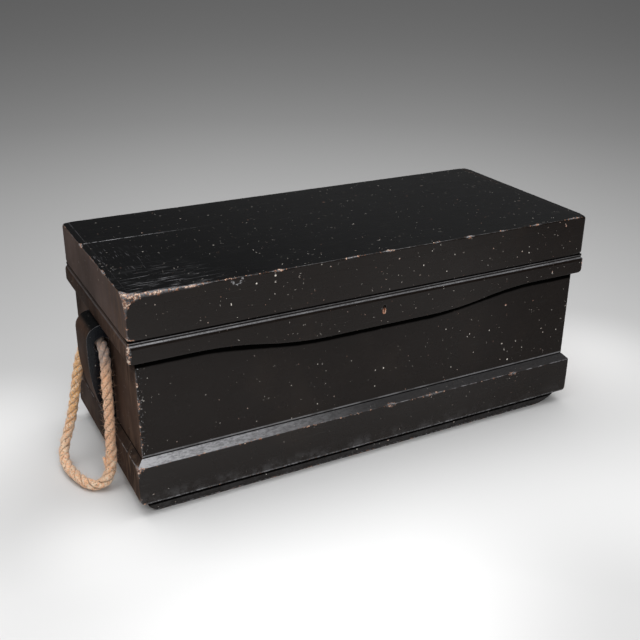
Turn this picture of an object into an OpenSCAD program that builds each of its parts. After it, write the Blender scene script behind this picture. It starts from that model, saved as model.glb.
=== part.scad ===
// Joiner's tool chest in black painted pine: a dovetailed carcass on two runners, a mitred plinth,
// a scroll-cut band under a deep box lid, a sliding till, a link lock, butt hinges
// and a rope handle through a bored block at each end.
// X runs along the length, -Y is the front, +Z is up, and the floor is at Z = 0.

/* [Chest] */
// Length over the lid, from end to end
chest_length = 915; // [800:5:1200]
// Depth over the lid, from front to back
chest_depth = 400; // [360:5:520]
// Height of the four carcass boards
wall_height = 278.5; // [265:0.5:380]
// Thickness of the four carcass boards
wall_thickness = 19; // [17:0.5:24]
// Thickness of the boards across the bottom
bottom_thickness = 16; // [12:0.5:22]
// Number of boards across the bottom
bottom_board_count = 6; // [4:1:8]
// Open joint between two bottom boards
bottom_board_gap = 0.5; // [0.2:0.1:0.9]

/* [Dovetails] */
// Number of tails at each carcass corner
carcass_tail_count = 5; // [3:1:7]
// Number of tails at each till corner
till_tail_count = 2; // [2:1:4]
// Width of a pin on the face where it is narrow
pin_width = 9; // [6:0.5:14]
// Run of a tail's slope for one of rise
tail_slope = 6; // [5:0.5:8]

/* [Runners] */
// Height of the runners that the chest stands on
runner_height = 34; // [20:1:50]
// Width of a runner, from front to back
runner_width = 40; // [30:1:60]
// Length of the rounded toe at a runner's left end
runner_left_toe = 24; // [16:1:60]
// Length of the rounded toe at a runner's right end
runner_right_toe = 62; // [40:1:90]
// Setback of the front runner behind the carcass's front, and of the back runner before its mirror image
runner_setback = 0.5; // [0:0.5:10]

/* [Plinth] */
// Height of the plinth boards
plinth_height = 82.5; // [50:0.5:100]
// Drop of the plinth's foot below the runners' tops
plinth_drop = 7.5; // [0:0.5:12]
// Radius of the front plinth's lower corners
plinth_corner = 9; // [4:1:12]
// Thickness of the plinth boards
plinth_thickness = 12.5; // [12:0.5:18]
// Width and height of the chamfer on the plinth's top edge
plinth_chamfer = 11.5; // [6:0.5:12]
// Radius of the front plinth's lower edge
plinth_round = 3; // [1:0.5:5]

/* [Band] */
// Thickness of the band under the lid
band_thickness = 14; // [13:0.5:18]
// Height of the front band at its ends
band_end_height = 38; // [30:1:46]
// Height of the front band at the middle of its scroll
band_middle_height = 61; // [50:1:70]
// Distance from the lid's end to the start of the scroll
scroll_start = 110; // [60:5:160]
// Length of the scroll's double curve
scroll_run = 245; // [150:5:250]
// Radius of the front band's and the right band's lower corners
band_corner = 9; // [4:1:14]
// Height of the left band with its sloping foot
side_band_height = 60.5; // [50:0.5:70]
// Height of the upright face of the left band, under which both handle blocks stand
side_band_face = 34; // [28:1:42]
// Height of the fillet above the band's rounded edge
band_fillet = 4; // [2:0.5:6]
// Setback of the fillet behind the band's face
band_fillet_setback = 3; // [2:0.5:4]
// Radius of the band's rounded upper edge
band_nose = 8; // [5:0.5:10]

/* [Lid] */
// Height of the lid
lid_height = 77.5; // [60:0.5:110]
// Overhang of the lid past the carcass at the front and ends
lid_overhang = 12; // [8:0.5:14]
// Thickness of the two top planks
plank_thickness = 20; // [16:1:26]
// Width of the front top plank
front_plank_width = 265; // [180:5:280]
// Thickness of the end rims
end_rim_thickness = 24; // [22:0.5:30]
// Width of an end rim's upper edge outside the rebate that holds the planks
end_rim_edge = 12; // [8:0.5:14]
// Thickness of the front and back rims under the planks
long_rim_thickness = 31; // [31:0.5:36]
// Radius of the lid's corners and upper edges
lid_round = 3; // [1:0.5:5]

/* [Handles] */
// Width of a handle block, from front to back
block_width = 75; // [60:1:110]
// Thickness of a handle block at its thickest
block_thickness = 39.5; // [34:0.5:48]
// Radius of the block's rounded top
block_top_round = 27; // [22:1:30]
// Drop from the block's rounded top to where it starts to thin
block_straight = 38; // [20:1:60]
// Radius of the long curve down the block's face
block_sweep = 290; // [260:5:500]
// Least thickness of the block, at which its long curve ends
block_least_thickness = 15; // [8:0.5:18]
// Clearance between the block's foot and the plinth
block_foot_gap = 3; // [1:0.5:8]
// Radius of the hole for the rope
rope_hole_radius = 11; // [10.5:0.25:12]
// Height of the hole's axis below the carcass's top edge
rope_hole_drop = 72; // [68:1:80]
// Distance of the hole's axis from the carcass
rope_hole_out = 12.5; // [12.5:0.5:14]
// Depth of the worn flare at each mouth of the hole
flare_depth = 12; // [6:1:16]
// Extra radius of the flare at the mouth
flare_width = 4; // [1:0.5:4]
// Radius of the rope
rope_radius = 9; // [8:0.5:9]
// Gap between the rope and the bottom of its hole
rope_seat_gap = 0.3; // [0.2:0.1:0.6]

/* [Till] */
// Depth of the till, from front to back
till_depth = 165; // [120:5:180]
// Height of the till
till_height = 74; // [50:1:90]
// Thickness of the till's boards
till_wall = 10; // [8:0.5:13]
// Thickness of the till's bottom
till_bottom_thickness = 8; // [6:0.5:10]
// Number of compartments in the till
till_compartments = 3; // [2:1:5]
// Clearance between the till and the boards around it
till_clearance = 0.5; // [0.3:0.1:1]
// Distance from the carcass's top edge down to the till
till_drop = 5; // [3:1:15]
// Width of the strips that carry the till
till_strip_width = 15; // [10:1:20]
// Height of the strips that carry the till
till_strip_height = 25; // [15:1:30]

/* [Lock] */
// Distance of the keyhole from the middle of the front
keyhole_offset = 5; // [-20:1:20]
// Height of the key's axis below the carcass's top edge
key_drop = 25.5; // [25:0.5:28]
// Radius of the keyhole's round head
keyhole_radius = 3.2; // [2.8:0.1:4]
// Length of the keyhole from its head's centre to its foot
keyhole_length = 12.5; // [10:0.5:13]
// Width of the keyhole's slot
keyhole_slot = 3.4; // [2.6:0.1:4]
// Wall of the keyhole's brass liner
escutcheon_wall = 1.6; // [1:0.1:2]
// Depth of the keyhole's brass liner
escutcheon_depth = 4; // [3:0.5:8]
// Length of the lock's case
case_length = 80; // [76:1:100]
// Height of the lock's case
case_height = 46; // [42:1:54]
// Depth of the lock's case, from front to back
case_depth = 14; // [13.5:0.5:15]
// Thickness of the case's plates
case_wall = 1.5; // [1:0.1:1.6]
// Length of the top plate past each end of the case
selvedge_lap = 12; // [10:1:16]
// Travel of the lock's bolt
bolt_throw = 13; // [12:0.5:15]
// Height of the bolt's bar
bolt_height = 6; // [5:0.5:6.5]
// Thickness of the bolt's bar
bolt_thickness = 3; // [2.5:0.1:3.5]
// Clearance round the bolt in its guides and in the link
bolt_clearance = 0.3; // [0.2:0.1:0.5]
// Thickness of the lid's link
link_thickness = 4; // [3:0.5:5]
// Width of the lid's link
link_width = 9; // [8.5:0.5:9.5]
// Depth to which the link enters the lock
link_drop = 16; // [15:0.5:17]

/* [Hinges] */
// Distance from a hinge's middle to the end of the lid
hinge_inset = 160; // [100:5:250]
// Length of a hinge
hinge_length = 76; // [60:2:100]
// Width of a hinge leaf in the wood
leaf_width = 17; // [14:0.5:17]
// Thickness of a hinge leaf
leaf_thickness = 2.5; // [2:0.1:3]
// Radius of a hinge knuckle
knuckle_radius = 4.2; // [3.6:0.1:5]
// Number of knuckles in a hinge
knuckle_count = 5; // [3:2:7]
// Radius of a hinge pin
hinge_pin_radius = 2; // [1.5:0.1:2.4]
// Gap between moving hinge parts
hinge_gap = 0.3; // [0.2:0.05:0.5]

/* [Screws] */
// Radius of a screw's shank
shank_radius = 2; // [1.5:0.1:2.2]
// Radius of a screw's head
screw_head_radius = 4; // [3:0.1:4.2]
// Length of a hinge or lock screw
short_screw = 16; // [12:1:20]
// Length of a screw that holds a handle block
long_screw = 38; // [32:1:38]
// Radial gap between a screw and its hole
screw_gap = 0.05; // [0.02:0.01:0.1]

/* [Hidden] */

$fn = 64;
// How far a shape runs past the face it opens or joins: by a hair, by a little, and past the whole chest
tiny = 0.01;
margin = 1;
big = 2000;

// Colours of the finishes
black_paint = [0.13, 0.125, 0.125];
dark_end = [0.17, 0.15, 0.14];
bare_pine = [0.72, 0.55, 0.36];
iron = [0.28, 0.27, 0.26];
brass = [0.70, 0.55, 0.28];
hemp = [0.72, 0.52, 0.32];

// Main planes
carcass_length = chest_length - 2 * lid_overhang;
end_x = carcass_length / 2;
front_y = -chest_depth / 2 + lid_overhang;
back_y = chest_depth / 2;
floor_z = runner_height;
wall_z = floor_z + bottom_thickness;
rim_z = wall_z + wall_height;
lid_top_z = rim_z + lid_height;
plank_z = lid_top_z - plank_thickness;
lid_end_x = chest_length / 2;
lid_front_y = -chest_depth / 2;
inner_x = end_x - wall_thickness;
inner_front_y = front_y + wall_thickness;
inner_back_y = back_y - wall_thickness;
plinth_foot_z = floor_z - plinth_drop;
plinth_top_z = plinth_foot_z + plinth_height;
plinth_end_x = end_x + plinth_thickness;

// Points of an arc from angle a0 to angle a1
function arc(centre, radius, a0, a1, steps) = [
    for (i = [0:steps])
        let (angle = a0 + (a1 - a0) * i / steps)
        centre + radius * [cos(angle), sin(angle)]
];

// A flat shape in Y and Z carried along X, and one in X and Z carried along Y, both centred
module along_x(length) rotate([90, 0, 90]) linear_extrude(length, center = true) children();
module along_y(length) rotate([90, 0, 0]) linear_extrude(length, center = true) children();

// A piece and its mirror image at the other end of the chest
module at_both_ends() {
    children();
    mirror([1, 0, 0]) children();
}

// Board between two corners
module board(low, high) translate(low) cube(high - low);

// Countersunk screw whose head lies in the plane Z = 0 and whose point is down
module screw(length, grow = 0) {
    head_depth = screw_head_radius - shank_radius;
    rotate_extrude() polygon([
        [0, 0], [screw_head_radius + grow, 0], [shank_radius + grow, -head_depth - grow],
        [shank_radius + grow, -length + shank_radius], [0, -length - grow]
    ]);
}

// Dovetails
// The pins of one corner, as they stand in the X and Z plane at the left end: narrow at the outer face.
module pin_row(count, low_z, height, thickness) {
    pitch = height / count;
    flare = thickness / tail_slope;
    intersection() {
        translate([0, low_z]) square([thickness, height]);
        for (i = [0:count]) translate([0, low_z + i * pitch]) polygon([
            [0, -pin_width / 2], [0, pin_width / 2],
            [thickness, pin_width / 2 + flare], [thickness, -pin_width / 2 - flare]
        ]);
    }
}

// The pins of one corner as solids, from the board's end at X = -half_length
module corner_pins(count, low_z, height, thickness, half_length, low_y, depth)
    translate([-half_length, low_y + depth / 2, 0]) along_y(depth) pin_row(count, low_z, height, thickness);

module carcass_pins(low_y) at_both_ends()
    corner_pins(carcass_tail_count, wall_z, wall_height, wall_thickness, end_x, low_y, wall_thickness);

module left_end_body() {
    board([-end_x, inner_front_y, wall_z], [-inner_x, inner_back_y, rim_z]);
    for (low_y = [front_y, inner_back_y])
        corner_pins(carcass_tail_count, wall_z, wall_height, wall_thickness, end_x, low_y, wall_thickness);
}

// Handle blocks and their screws
block_low_z = plinth_top_z + block_foot_gap;
block_top_gap = 1;
block_top_centre = [
    block_thickness - block_top_round, rim_z - side_band_face - block_top_round - block_top_gap
];
block_thin_z = block_top_centre[1] - block_straight;
block_sweep_angle = asin((block_thin_z - block_low_z) / block_sweep);
hole_z = rim_z - rope_hole_drop;
rope_z = hole_z - rope_hole_radius + rope_radius + rope_seat_gap;
rope_x = end_x + rope_hole_out;
block_screw_drops = [12, 68];
block_screw_places = [
    for (y = [-block_width / 4, block_width / 4], drop = block_screw_drops) [y, block_thin_z - drop]
];

// Outline of the block in distance from the carcass and height; its back is scribed to the band's outline,
// which is given as a child
module block_outline() difference() {
    polygon(concat(
        [[0, block_low_z], [0, block_top_centre[1] + block_top_round]],
        arc(block_top_centre, block_top_round, 90, 0, 14),
        [for (p = arc([block_thickness - block_sweep, block_thin_z], block_sweep, 0, -block_sweep_angle, 12))
            [max(p[0], block_least_thickness), p[1]]]
    ));
    children();
}

module block_hole() rotate([90, 0, 0]) {
    cylinder(h = block_width + 2 * margin, r = rope_hole_radius, center = true);
    for (s = [0, 1]) mirror([0, 0, s]) translate([0, 0, block_width / 2 - flare_depth])
        cylinder(h = flare_depth + tiny, r1 = rope_hole_radius, r2 = rope_hole_radius + flare_width);
}

module at_block_screws(x) for (place = block_screw_places)
    translate([x, place[0], place[1]]) rotate([0, 90, 0]) children();

module handle_block() difference() {
    translate([-end_x, 0, 0]) along_y(block_width) mirror([1, 0, 0]) block_outline() children();
    translate([-rope_x, 0, hole_z]) block_hole();
    at_block_screws(-inner_x) screw(long_screw, screw_gap);
}

// Route of the left rope as distance outwards from its axis, distance back, and height above its axis
ROPE_ROUTE = [
    [0, 0, 0], [0, -13, 0], [0, -26, 0], [0, -37, -2], [1, -46, -8], [2, -53, -19], [3, -57, -36],
    [5, -60, -65], [6, -64, -100], [8, -67, -135], [10, -70, -165], [12, -74, -192], [16, -80, -214],
    [24, -85, -231], [36, -86, -241], [50, -79, -244], [61, -65, -243], [69, -45, -242], [75, -22, -240],
    [78, 0, -237], [77, 18, -229], [71, 30, -214], [61, 37, -192], [49, 42, -158], [39, 46, -120],
    [31, 48, -85], [23, 49, -56], [14, 52, -36], [7, 52, -21], [2, 47, -9], [0, 38, -2], [0, 26, 0],
    [0, 13, 0]
];
rope_sides = 12;

// Closed tube through the points of a route, its rings turned from one reference direction
function unit(v) = v / norm(v);
function ring_tangent(route, i) =
    let (count = len(route)) unit(route[(i + 1) % count] - route[(i + count - 1) % count]);
function ring_points(route, i, radius, sides, reference) =
    let (t = ring_tangent(route, i), u = unit(cross(t, reference)), v = cross(t, u))
    [for (k = [0:sides - 1]) route[i] + radius * (u * cos(360 * k / sides) + v * sin(360 * k / sides))];

module closed_tube(route, radius, sides, reference) {
    count = len(route);
    points = [for (i = [0:count - 1]) each ring_points(route, i, radius, sides, reference)];
    faces = [
        for (i = [0:count - 1], k = [0:sides - 1])
            let (a = i * sides + k, b = i * sides + (k + 1) % sides,
                 c = ((i + 1) % count) * sides + (k + 1) % sides, d = ((i + 1) % count) * sides + k)
            each [[a, c, b], [a, d, c]]
    ];
    polyhedron(points, faces);
}

rope_reference = [0.8, 0.35, -0.5];

module rope_handle() translate([-rope_x, 0, rope_z])
    closed_tube([for (p = ROPE_ROUTE) [-p[0], p[1], p[2]]], rope_radius, rope_sides, rope_reference);

// Plinth: its section with a rounded lower edge, and the front board's face with its rounded lower corners
module plinth_outline(lower_round) polygon(concat(
    [[0, plinth_foot_z]],
    arc([plinth_thickness - lower_round, plinth_foot_z + lower_round], lower_round, -90, 0, 6),
    [
        [plinth_thickness, plinth_top_z - plinth_chamfer],
        [plinth_thickness - plinth_chamfer, plinth_top_z],
        [0, plinth_top_z]
    ]
));
module plinth_face() polygon(concat(
    [[plinth_end_x, plinth_top_z], [-plinth_end_x, plinth_top_z]],
    arc([-plinth_end_x + plinth_corner, plinth_foot_z + plinth_corner], plinth_corner, 180, 270, 6),
    arc([plinth_end_x - plinth_corner, plinth_foot_z + plinth_corner], plinth_corner, 270, 360, 6)
));

// Band: one edge profile for the front and the sides, whose lower corner is sharp or has a radius
band_quirk = 1;
nose_angle = 58;
module band_top_outline(foot, corner = 0) polygon(concat(
    [
        [0, foot], [0, rim_z], [band_thickness - band_fillet_setback, rim_z],
        [band_thickness - band_fillet_setback, rim_z - band_fillet]
    ],
    arc([band_thickness - band_nose, rim_z - band_fillet - band_nose - band_quirk],
        band_nose, nose_angle, 0, 8),
    corner > 0
        ? arc([band_thickness - corner, foot + corner], corner, 0, -90, 6)
        : [[band_thickness, foot]]
));

// The right band is as high as the front band's ends, with their rounded corner
module right_band_outline() band_top_outline(rim_z - band_end_height, min(band_corner, band_thickness));

// The foot of the left band slopes in below its face, through two points that are each given
// as a share of the band's thickness and a height
slope_knee = [0.55, -13];
slope_toe = [0.12, 3];
module left_band_outline() {
    band_top_outline(rim_z - side_band_face);
    polygon([
        [0, rim_z - side_band_height], [0, rim_z - side_band_face],
        [band_thickness, rim_z - side_band_face],
        [band_thickness * slope_knee[0], rim_z - side_band_face + slope_knee[1]],
        [band_thickness * slope_toe[0], rim_z - side_band_height + slope_toe[1]]
    ]);
}

// Lower edge of the front band from the left end to the middle: flat, then a double curve
scroll_depth = band_middle_height - band_end_height;
scroll_radius = (pow(scroll_run / 2, 2) + pow(scroll_depth / 2, 2)) / scroll_depth;
scroll_angle = 2 * atan(scroll_depth / scroll_run);
band_end_x = end_x + band_thickness;
scroll_x = -lid_end_x + scroll_start;
half_scroll = concat(
    arc([-band_end_x + band_corner, rim_z - band_end_height + band_corner], band_corner, 180, 270, 6),
    arc([scroll_x, rim_z - band_end_height - scroll_radius], scroll_radius, 90, 90 - scroll_angle, 10),
    arc([scroll_x + scroll_run, rim_z - band_middle_height + scroll_radius], scroll_radius,
        270 - scroll_angle, 270, 10)
);

// The same points mirrored in X and in the opposite order
function mirrored(points) = [for (i = [len(points) - 1:-1:0]) [-points[i][0], points[i][1]]];

module scroll_outline() polygon(concat(
    [[-band_end_x, rim_z]], half_scroll, mirrored(half_scroll), [[band_end_x, rim_z]]
));

// Plan shapes of a mitred frame of boards round the front and the two ends of the carcass
module front_plan(thickness) polygon([
    [-end_x - thickness, front_y - thickness], [end_x + thickness, front_y - thickness],
    [end_x, front_y], [-end_x, front_y]
]);
module left_plan(thickness) polygon([
    [-end_x - thickness, front_y - thickness], [-end_x, front_y],
    [-end_x, back_y], [-end_x - thickness, back_y]
]);
module tall() linear_extrude(lid_top_z) children();

// Keyhole, in the X and Z plane, with its head's centre at the origin
module keyhole_outline(grow = 0) {
    circle(r = keyhole_radius + grow);
    translate([-keyhole_slot / 2 - grow, -keyhole_length + keyhole_slot / 2])
        square([keyhole_slot + 2 * grow, keyhole_length - keyhole_slot / 2]);
    translate([0, -keyhole_length + keyhole_slot / 2]) circle(r = keyhole_slot / 2 + grow);
}
key_z = rim_z - key_drop;
module keyhole(from_y, to_y, grow = 0)
    translate([keyhole_offset, (from_y + to_y) / 2, key_z]) along_y(to_y - from_y) keyhole_outline(grow);

// Lock: the case is let into the inner face of the front board, and its top plate into the board's edge
case_low_y = inner_front_y - case_depth;
case_middle_y = inner_front_y - case_depth / 2;
selvedge_thickness = 2;
case_low_z = rim_z - case_height;
guide_thickness = 3;
guide_places = [-33, -11, 8];
bolt_drop = 9.5;
bolt_z = rim_z - bolt_drop;
bolt_tip_gap = 1.5;
bolt_tip_x = keyhole_offset - link_thickness / 2 - bolt_tip_gap;
bolt_length = 32;
// Notch in the bolt's lower edge, where the key's bit pushes: its two ends behind the tip, and its depth
notch_ends = [14, 8];
notch_depth = 2;
// Gap round the link in the top plate's slot
link_gap = 1;
link_hole_height = bolt_height + 4 * bolt_clearance;
lock_screw_x = case_length / 2 + selvedge_lap / 2;

module case_space() {
    board([keyhole_offset - case_length / 2, case_low_y, case_low_z],
          [keyhole_offset + case_length / 2, inner_front_y + tiny, rim_z]);
    board([keyhole_offset - case_length / 2 - selvedge_lap, case_low_y, rim_z - selvedge_thickness],
          [keyhole_offset + case_length / 2 + selvedge_lap, inner_front_y + tiny, rim_z + tiny]);
}

// The bolt's bar, or with a gap round it the way that it slides along
module bolt_bar(gap = 0, travel = 0) {
    reach = [0, bolt_thickness / 2 + gap, bolt_height / 2 + gap];
    board([bolt_tip_x - bolt_length - gap, case_middle_y, bolt_z] - reach,
          [bolt_tip_x + travel + gap, case_middle_y, bolt_z] + reach);
}

module at_lock_screws(z) for (s = [-1, 1])
    translate([keyhole_offset + s * lock_screw_x, case_middle_y, z]) children();

// Hinges
hinge_x = lid_end_x - hinge_inset;
hinge_y = back_y + knuckle_radius + hinge_gap;
knuckle_length = hinge_length / knuckle_count;
// Spacing of a leaf's three screws, as a share of the hinge's length
leaf_screw_share = 0.34;
leaf_screw_spacing = leaf_screw_share * hinge_length;
leaf_screw_places = [
    for (i = [-1, 0, 1]) [i * leaf_screw_spacing, back_y - leaf_width / 2]
];
pin_head_length = 1.5;
pin_head_lap = 1;

module knuckles(first) for (i = [first:2:knuckle_count - 1])
    translate([-hinge_length / 2 + i * knuckle_length + (i == 0 ? 0 : hinge_gap / 2), hinge_y, 0])
        rotate([0, 90, 0])
            cylinder(h = knuckle_length - (i == 0 || i == knuckle_count - 1 ? hinge_gap / 2 : hinge_gap),
                     r = knuckle_radius);

module leaf_tabs(first) for (i = [first:2:knuckle_count - 1]) {
    low_x = -hinge_length / 2 + i * knuckle_length + (i == 0 ? 0 : hinge_gap / 2);
    high_x = -hinge_length / 2 + (i + 1) * knuckle_length - (i == knuckle_count - 1 ? 0 : hinge_gap / 2);
    board([low_x, back_y - margin, -leaf_thickness], [high_x, hinge_y, 0]);
}

// A leaf below the joint plane Z = 0; the lid's leaf is its mirror image with the other knuckles
module leaf(first) difference() {
    union() {
        board([-hinge_length / 2, back_y - leaf_width, -leaf_thickness], [hinge_length / 2, back_y, 0]);
        leaf_tabs(first);
        knuckles(first);
    }
    translate([-hinge_length, hinge_y, 0]) rotate([0, 90, 0])
        cylinder(h = 2 * hinge_length, r = hinge_pin_radius + screw_gap);
    for (place = leaf_screw_places) translate([place[0], place[1], 0]) screw(short_screw, screw_gap);
}

module leaf_seat() board([-hinge_length / 2, back_y - leaf_width, -leaf_thickness],
                         [hinge_length / 2, back_y + tiny, tiny]);
module at_hinge(side) translate([side * hinge_x, 0, rim_z]) children();
module upside_down() mirror([0, 0, 1]) children();

module hinge_pin() translate([-hinge_length / 2 - pin_head_length, hinge_y, 0]) rotate([0, 90, 0]) {
    cylinder(h = hinge_length + 2 * pin_head_length, r = hinge_pin_radius);
    for (z = [0, hinge_length + pin_head_length + hinge_gap]) translate([0, 0, z])
        cylinder(h = pin_head_length - hinge_gap, r = hinge_pin_radius + pin_head_lap);
}

module hinge_screws() for (side = [-1, 1]) at_hinge(side)
    for (place = leaf_screw_places) translate([place[0], place[1], 0]) children();

// Lid: planks between the end rims, with every outer corner and upper edge rounded
module lid_plan(inset) {
    w = chest_length / 2 - inset;
    d = chest_depth / 2 - inset;
    r = lid_round;
    translate([-w + r, -d]) square([2 * (w - r), 2 * d]);
    translate([-w, -d + r]) square([2 * w, 2 * (d - r)]);
    for (x = [-1, 1], y = [-1, 1]) translate([x * (w - r), y * (d - r)]) circle(r = r);
}
module lid_block() intersection() {
    translate([0, 0, rim_z]) linear_extrude(lid_height) lid_plan(0);
    along_x(chest_length + 2 * margin) polygon(concat(
        [[lid_front_y, rim_z], [-lid_front_y, rim_z]],
        arc([-lid_front_y - lid_round, lid_top_z - lid_round], lid_round, 0, 90, 6),
        arc([lid_front_y + lid_round, lid_top_z - lid_round], lid_round, 90, 180, 6)
    ));
    along_y(chest_depth + 2 * margin) polygon(concat(
        [[-lid_end_x, rim_z], [lid_end_x, rim_z]],
        arc([lid_end_x - lid_round, lid_top_z - lid_round], lid_round, 0, 90, 6),
        arc([-lid_end_x + lid_round, lid_top_z - lid_round], lid_round, 90, 180, 6)
    ));
}
plank_end_x = lid_end_x - end_rim_edge;
long_rim_x = lid_end_x - end_rim_thickness;
plank_joint_y = lid_front_y + front_plank_width;

// Till
till_low_z = rim_z - till_drop - till_height;
till_end_x = inner_x - till_clearance;
till_back_y = inner_back_y - till_clearance;
till_front_y = till_back_y - till_depth;
till_floor_z = till_low_z + till_bottom_thickness;
till_side_height = till_height - till_bottom_thickness;

module till_pins(low_y) at_both_ends()
    corner_pins(till_tail_count, till_floor_z, till_side_height, till_wall, till_end_x, low_y, till_wall);

module till_long_board(low_y) difference() {
    board([-till_end_x, low_y, till_floor_z], [till_end_x, low_y + till_wall, till_low_z + till_height]);
    till_pins(low_y);
}

module till_end() {
    board([-till_end_x, till_front_y + till_wall, till_floor_z],
          [-till_end_x + till_wall, till_back_y - till_wall, till_low_z + till_height]);
    for (low_y = [till_front_y, till_back_y - till_wall])
        corner_pins(till_tail_count, till_floor_z, till_side_height, till_wall, till_end_x, low_y, till_wall);
}

// The pieces
module front_board() color(black_paint) difference() {
    board([-end_x, front_y, wall_z], [end_x, inner_front_y, rim_z]);
    carcass_pins(front_y);
    case_space();
    keyhole(front_y - margin, inner_front_y);
    at_lock_screws(rim_z) screw(short_screw, screw_gap);
}

module back_board() color(black_paint) difference() {
    board([-end_x, inner_back_y, wall_z], [end_x, back_y, rim_z]);
    carcass_pins(inner_back_y);
    for (side = [-1, 1]) at_hinge(side) leaf_seat();
    hinge_screws() screw(short_screw, screw_gap);
}

module left_end_board() color(dark_end) difference() {
    left_end_body();
    at_block_screws(-inner_x) screw(long_screw, screw_gap);
}
module right_end_board() mirror([1, 0, 0]) left_end_board();

module bottom_boards() color(bare_pine) {
    pitch = carcass_length / bottom_board_count;
    for (i = [0:bottom_board_count - 1])
        board([-end_x + i * pitch + (i == 0 ? 0 : bottom_board_gap), front_y, floor_z],
              [-end_x + (i + 1) * pitch, back_y, wall_z]);
}

// The toe at one end, a quarter of an ellipse from angle a0 to angle a1
function toe_points(middle_x, length, a0, a1) = [
    for (a = [a0:9:a1]) [middle_x + length * cos(a), runner_height * (1 - sin(a))]
];
module runner(low_y) color(black_paint)
    translate([0, low_y + runner_width / 2, 0]) along_y(runner_width) polygon(concat(
        toe_points(end_x - runner_right_toe, runner_right_toe, 0, 90),
        toe_points(-end_x + runner_left_toe, runner_left_toe, 90, 180)
    ));
module front_runner() runner(front_y + runner_setback);
module back_runner() runner(-front_y - runner_setback - runner_width);

module front_plinth() color(black_paint) intersection() {
    translate([0, front_y, 0]) along_x(chest_length + 4 * plinth_thickness)
        mirror([1, 0]) plinth_outline(plinth_round);
    along_y(2 * chest_depth) plinth_face();
    tall() front_plan(plinth_thickness);
}
module left_plinth() color(dark_end) intersection() {
    translate([-end_x, 0, 0]) along_y(2 * chest_depth) mirror([1, 0]) plinth_outline(plinth_corner);
    tall() left_plan(plinth_thickness);
}
module right_plinth() mirror([1, 0, 0]) left_plinth();

module front_band() color(black_paint) difference() {
    intersection() {
        translate([0, front_y, 0]) along_x(chest_length + 4 * band_thickness)
            mirror([1, 0]) band_top_outline(rim_z - band_middle_height);
        along_y(2 * chest_depth) scroll_outline();
        tall() front_plan(band_thickness);
    }
    keyhole(front_y - band_thickness - margin, front_y + margin);
    keyhole(front_y - band_thickness - margin, front_y - band_thickness + escutcheon_depth, escutcheon_wall);
}
// One side's band on the left, its outline given as a child
module side_band() color(dark_end) intersection() {
    translate([-end_x, 0, 0]) along_y(2 * chest_depth) mirror([1, 0]) children();
    tall() left_plan(band_thickness);
}
module left_band() side_band() left_band_outline();
module right_band() mirror([1, 0, 0]) side_band() right_band_outline();

module left_handle_block() color(dark_end) handle_block() left_band_outline();
module right_handle_block() color(dark_end) mirror([1, 0, 0]) handle_block() right_band_outline();
module left_rope_handle() color(hemp) rope_handle();
module right_rope_handle() color(hemp) mirror([1, 0, 0]) rope_handle();
module handle_block_screws() color(iron) at_both_ends() at_block_screws(-inner_x) screw(long_screw);

module lid_front_plank() color(black_paint) intersection() {
    lid_block();
    board([-plank_end_x, lid_front_y, plank_z], [plank_end_x, plank_joint_y, lid_top_z]);
}
module lid_back_plank() color(black_paint) intersection() {
    lid_block();
    board([-plank_end_x, plank_joint_y, plank_z], [plank_end_x, back_y, lid_top_z]);
}
module lid_front_rim() color(black_paint) difference() {
    board([-long_rim_x, lid_front_y, rim_z], [long_rim_x, lid_front_y + long_rim_thickness, plank_z]);
    link_seat();
}
module lid_back_rim() color(black_paint) difference() {
    board([-long_rim_x, back_y - long_rim_thickness, rim_z], [long_rim_x, back_y, plank_z]);
    for (side = [-1, 1]) at_hinge(side) upside_down() leaf_seat();
    hinge_screws() upside_down() screw(short_screw, screw_gap);
}
module lid_left_rim() color(dark_end) intersection() {
    lid_block();
    union() {
        board([-lid_end_x, lid_front_y, rim_z], [-long_rim_x, back_y, plank_z]);
        board([-lid_end_x, lid_front_y, rim_z], [-plank_end_x, back_y, lid_top_z]);
    }
}
module lid_right_rim() mirror([1, 0, 0]) lid_left_rim();

module left_hinge_chest_leaf() color(iron) at_hinge(-1) leaf(0);
module right_hinge_chest_leaf() color(iron) at_hinge(1) leaf(0);
module left_hinge_lid_leaf() color(iron) at_hinge(-1) upside_down() leaf(1);
module right_hinge_lid_leaf() color(iron) at_hinge(1) upside_down() leaf(1);
module left_hinge_pin() color(iron) at_hinge(-1) hinge_pin();
module right_hinge_pin() color(iron) at_hinge(1) hinge_pin();
module hinge_chest_screws() color(iron) hinge_screws() screw(short_screw);
module hinge_lid_screws() color(iron) hinge_screws() upside_down() screw(short_screw);

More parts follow.
